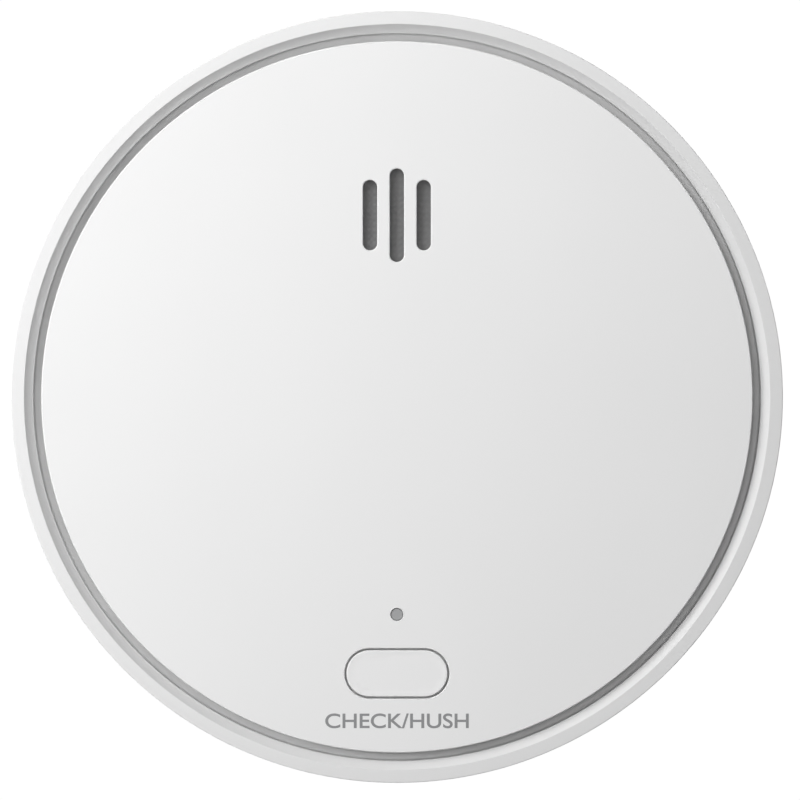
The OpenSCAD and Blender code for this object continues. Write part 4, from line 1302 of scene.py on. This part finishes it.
class ALARM_OT_dust_cloth(bpy.types.Operator):
    """Woven cloth behind the sounder slots."""

    bl_idname = "alarm.dust_cloth"
    bl_label = "Dust cloth"

    def execute(self, context):
        weave = woven_cloth("woven_filter_cloth", context.scene.alarm_colours.cloth)
        low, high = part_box("dust_cloth")
        radius, rings = radius_of("dust_cloth"), 60
        thread, crown, hem_share = CLOTH_THREAD * MM, 0.05 * MM, 0.99
        face_z = high.z - 0.06 * MM     # leaves room for the crowns of the threads
        profile = [(0, low.z, 0), (radius, low.z, 0)]
        profile += [(radius * k / rings, face_z, 0) for k in range(rings, -1, -1)]
        cloth = lathe("sounder_cloth", profile, weave, segments=192)
        for vert in cloth.data.vertices:
            if vert.co.z > (low.z + face_z) / 2 and vert.co.xy.length < radius * hem_share:
                a, b = math.pi * vert.co.x / thread, math.pi * vert.co.y / thread
                vert.co.z += crown * math.sin(a) * math.sin(b)
        cloth.data.transform(Matrix.Translation((*centre_of("dust_cloth"), 0)))
        place(cloth, "dust_cloth")
        return {"FINISHED"}


class ALARM_OT_back(bpy.types.Operator):
    """Rear housing with the screws that hold it to the cover."""

    bl_idname = "alarm.back"
    bl_label = "Rear housing"

    def execute(self, context):
        head, colours = context.scene.alarm_head, context.scene.alarm_colours
        soften("rear_housing", moulded_plastic("moulded_back_abs", colours.back_abs, 0.5), 0.2)
        nickel = plated_steel("nickel_plated_steel", colours.nickel)
        low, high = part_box("housing_screws")

        # One screw: its domed head, and a thread drawn as a stack of ridges.
        head_height, head_r, shank_r, root_depth = 1.8 * MM, 2.5 * MM, 1.3 * MM, 0.25 * MM
        dome, head_edge, shank_edge = 0.7 * MM, 0.15 * MM, 0.1 * MM
        tip_height, tip_r, tip_edge, pitch = 0.4 * MM, 0.6 * MM, 0.1 * MM, 1 * MM
        first_root, root_flat, crest = 0.3, 0.5, 0.75   # places in a pitch
        root_r, neck = shank_r - root_depth, low.z + head_height
        outline = [
            (0, low.z, 0),
            (head_r, low.z, dome),
            (head_r, neck, head_edge),
            (shank_r, neck, shank_edge),
        ]
        for turn in range(round((high.z - neck) / pitch) - 1):
            foot = neck + (turn + first_root) * pitch
            outline += [
                (root_r, foot, 0),
                (root_r, foot + root_flat * pitch, 0),
                (shank_r, foot + crest * pitch, 0),
            ]
        outline += [(root_r, high.z - tip_height, 0), (tip_r, high.z, tip_edge), (0, high.z, 0)]
        screw = lathe("screw", outline[::-1], nickel, segments=48)

        # Its cross recess: a slot along each axis, a little wider at its mouth.
        slot_length, slot_width, slot_depth, draft = 3.2 * MM, 0.6 * MM, 0.8 * MM, 0.05 * MM
        past_mouth, past = 0.2 * MM, 1 * MM
        for turned in (False, True):
            recess = solid_stack("recess", stadium(slot_length, slot_width, turned, steps=3), [
                (0, low.z + slot_depth),
                (draft, low.z),
                (past_mouth, low.z - past),
            ], nickel)
            combine(screw, [recess], "DIFFERENCE")
        screw.data.transform(Matrix.Translation((head.screw_reach, 0, 0)))
        screws = round_axis(screw, head.screw_count, head.screw_start, nickel)
        screws.name = screws.data.name = "back_screws"
        place(screws, "housing_screws")
        return {"FINISHED"}


class ALARM_OT_bracket(bpy.types.Operator):
    """Mounting bracket and the power slider that it carries."""

    bl_idname = "alarm.bracket"
    bl_label = "Mounting bracket"

    def execute(self, context):
        colours = context.scene.alarm_colours
        coarse = moulded_plastic("moulded_bracket_abs", colours.back_abs, 0.55, 0.2, 0.02)
        soften("mounting_bracket", coarse, 0.25)
        soften("power_slider", moulded_plastic("moulded_slider_acetal", colours.slider, 0.4), 0.15)
        return {"FINISHED"}


class ALARM_OT_sounder(bpy.types.Operator):
    """Sounder: horn, piezo disc and the coil springs that connect it."""

    bl_idname = "alarm.sounder"
    bl_label = "Sounder"

    def execute(self, context):
        colours = context.scene.alarm_colours
        soften("resonator", moulded_plastic("moulded_black_abs", colours.black, 0.5), 0.15)
        soften("piezo_disc", rolled_metal("rolled_brass", colours.brass), 0.04)
        silver = fired_ceramic("silvered_piezo_ceramic", colours.silvered, 0.3, shine=0.6)
        soften("piezo_ceramic", silver, 0.04)
        nickel = plated_steel("nickel_plated_steel", colours.nickel)

        # One spring presses on the brass near its edge, and two on the silvered layer.
        coil_r, wire, turns, brass_inset, silver_x = 1.1 * MM, 0.5 * MM, 5.0, 1.6 * MM, 5 * MM
        board_z, middle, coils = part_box("circuit_board")[1].z, centre_of("piezo_disc"), []
        brass_z, silver_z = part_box("piezo_disc")[0].z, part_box("piezo_ceramic")[0].z
        brass_x = radius_of("piezo_disc") - brass_inset
        for x, top in ((brass_x, brass_z), (silver_x, silver_z), (-silver_x, silver_z)):
            blank = new_object("coil", bpy.data.meshes.new("coil"))
            coil = run_tree(blank, spring_tree("wind_spring"), {
                "Radius": coil_r,
                "Wire": wire / 2,
                "Length": top - board_z - wire,
                "Turns": turns,
                "Material": nickel,
            })
            coil.data.transform(Matrix.Translation((middle[0] + x, middle[1], board_z + wire / 2)))
            coils.append(coil)
        place(join("coil_springs", coils), "piezo_springs")
        return {"FINISHED"}


class ALARM_OT_chamber(bpy.types.Operator):
    """Smoke chamber: base, lid, insect screen and the two optics."""

    bl_idname = "alarm.chamber"
    bl_label = "Smoke chamber"

    def execute(self, context):
        colours = context.scene.alarm_colours
        soot = moulded_plastic("moulded_carbon_black_styrene", colours.soot, 0.7, 0.25, 0.03)
        lamp = clear_resin("tinted_lamp_epoxy", colours.infrared, 0.12)
        eye = clear_resin("daylight_filter_epoxy", colours.filter, 0.12, passing=0.1)
        for node, material, edge in (
            ("chamber_base", soot, 0.12),
            ("chamber_cap", soot, 0.12),
            ("infrared_lamp", lamp, 0.05),
            ("light_receiver", eye, 0.05),
        ):
            soften(node, material, edge)
        screen = frame["nodes"]["insect_screen"]
        screen.data.materials[0] = rolled_metal("etched_stainless", colours.steel, 0.34)
        return {"FINISHED"}


class ALARM_OT_board(bpy.types.Operator):
    """Circuit board with its switches, chips, coil, capacitors, status lamp and screws."""

    bl_idname = "alarm.board"
    bl_label = "Circuit board"

    def execute(self, context):
        colours = context.scene.alarm_colours
        black = moulded_plastic("moulded_black_abs", colours.black, 0.5)
        epoxy = moulded_plastic("moulded_chip_epoxy", colours.epoxy, 0.55, 0.08, 0.006)
        for node, material, edge in (
            ("circuit_board", solder_mask("green_solder_mask", colours.mask), 0.1),
            ("button_switch", black, 0.12),
            ("switch_plunger", moulded_plastic("moulded_plunger_acetal", colours.slider, 0.4), 0.1),
            ("power_switch", black, 0.15),
            ("status_lamp", clear_resin("red_lamp_epoxy", colours.red, 0.15, 0.3), 0.05),
            ("control_chip", epoxy, 0.03),
            ("sensor_chip", epoxy, 0.03),
            ("sounder_coil", wound_wire("wound_copper_wire", colours.copper), 0.12),
            ("capacitors", rolled_metal("drawn_aluminium", colours.can, 0.3), 0.15),
            ("chip_parts", fired_ceramic("fired_chip_ceramic", colours.ceramic), 0.05),
            ("board_screws", plated_steel("nickel_plated_steel", colours.nickel), 0.12),
        ):
            soften(node, material, edge)
        return {"FINISHED"}


class ALARM_OT_battery(bpy.types.Operator):
    """Lithium cell in its shrink sleeve, with its welded tabs."""

    bl_idname = "alarm.battery"
    bl_label = "Battery"

    def execute(self, context):
        colours = context.scene.alarm_colours
        soften("battery_cell", shrink_sleeve("shrunk_cell_sleeve", colours.sleeve), 0.3)
        soften("battery_tabs", rolled_metal("nickel_strip", colours.nickel, 0.25), 0.04)
        return {"FINISHED"}


class ALARM_PT_panel(bpy.types.Panel):
    """Sizes, colours and steps of the smoke alarm."""

    bl_idname = "ALARM_PT_panel"
    bl_label = "Smoke Alarm"
    bl_space_type = "VIEW_3D"
    bl_region_type = "UI"
    bl_category = "Smoke Alarm"

    def draw(self, context):
        for step in STEPS:
            self.layout.operator(step.bl_idname)
        for group in GROUPS:
            values = getattr(context.scene, group)
            for name in values.bl_rna.properties.keys():
                if name not in ("rna_type", "name"):
                    self.layout.prop(values, name)


STEPS = (
    ALARM_OT_stage,
    ALARM_OT_cover,
    ALARM_OT_face_plate,
    ALARM_OT_test_key,
    ALARM_OT_indicator,
    ALARM_OT_lettering,
    ALARM_OT_dust_cloth,
    ALARM_OT_back,
    ALARM_OT_bracket,
    ALARM_OT_sounder,
    ALARM_OT_chamber,
    ALARM_OT_board,
    ALARM_OT_battery,
)
GROUPS = {
    "alarm_head": HeadSizes,
    "alarm_face": FaceSizes,
    "alarm_colours": FinishColours,
    "alarm_stage": StageLook,
}
CLASSES = (*GROUPS.values(), *STEPS, ALARM_PT_panel)


def register():
    for cls in CLASSES:
        bpy.utils.register_class(cls)
    for name, group in GROUPS.items():
        setattr(bpy.types.Scene, name, bpy.props.PointerProperty(type=group))


def unregister():
    for name in GROUPS:
        delattr(bpy.types.Scene, name)
    for cls in reversed(CLASSES):
        bpy.utils.unregister_class(cls)


def main():
    """Builds the alarm step by step."""
    register()
    for step in STEPS:
        area, name = step.bl_idname.split(".")
        getattr(getattr(bpy.ops, area), name)()


if __name__ == "__main__":
    main()
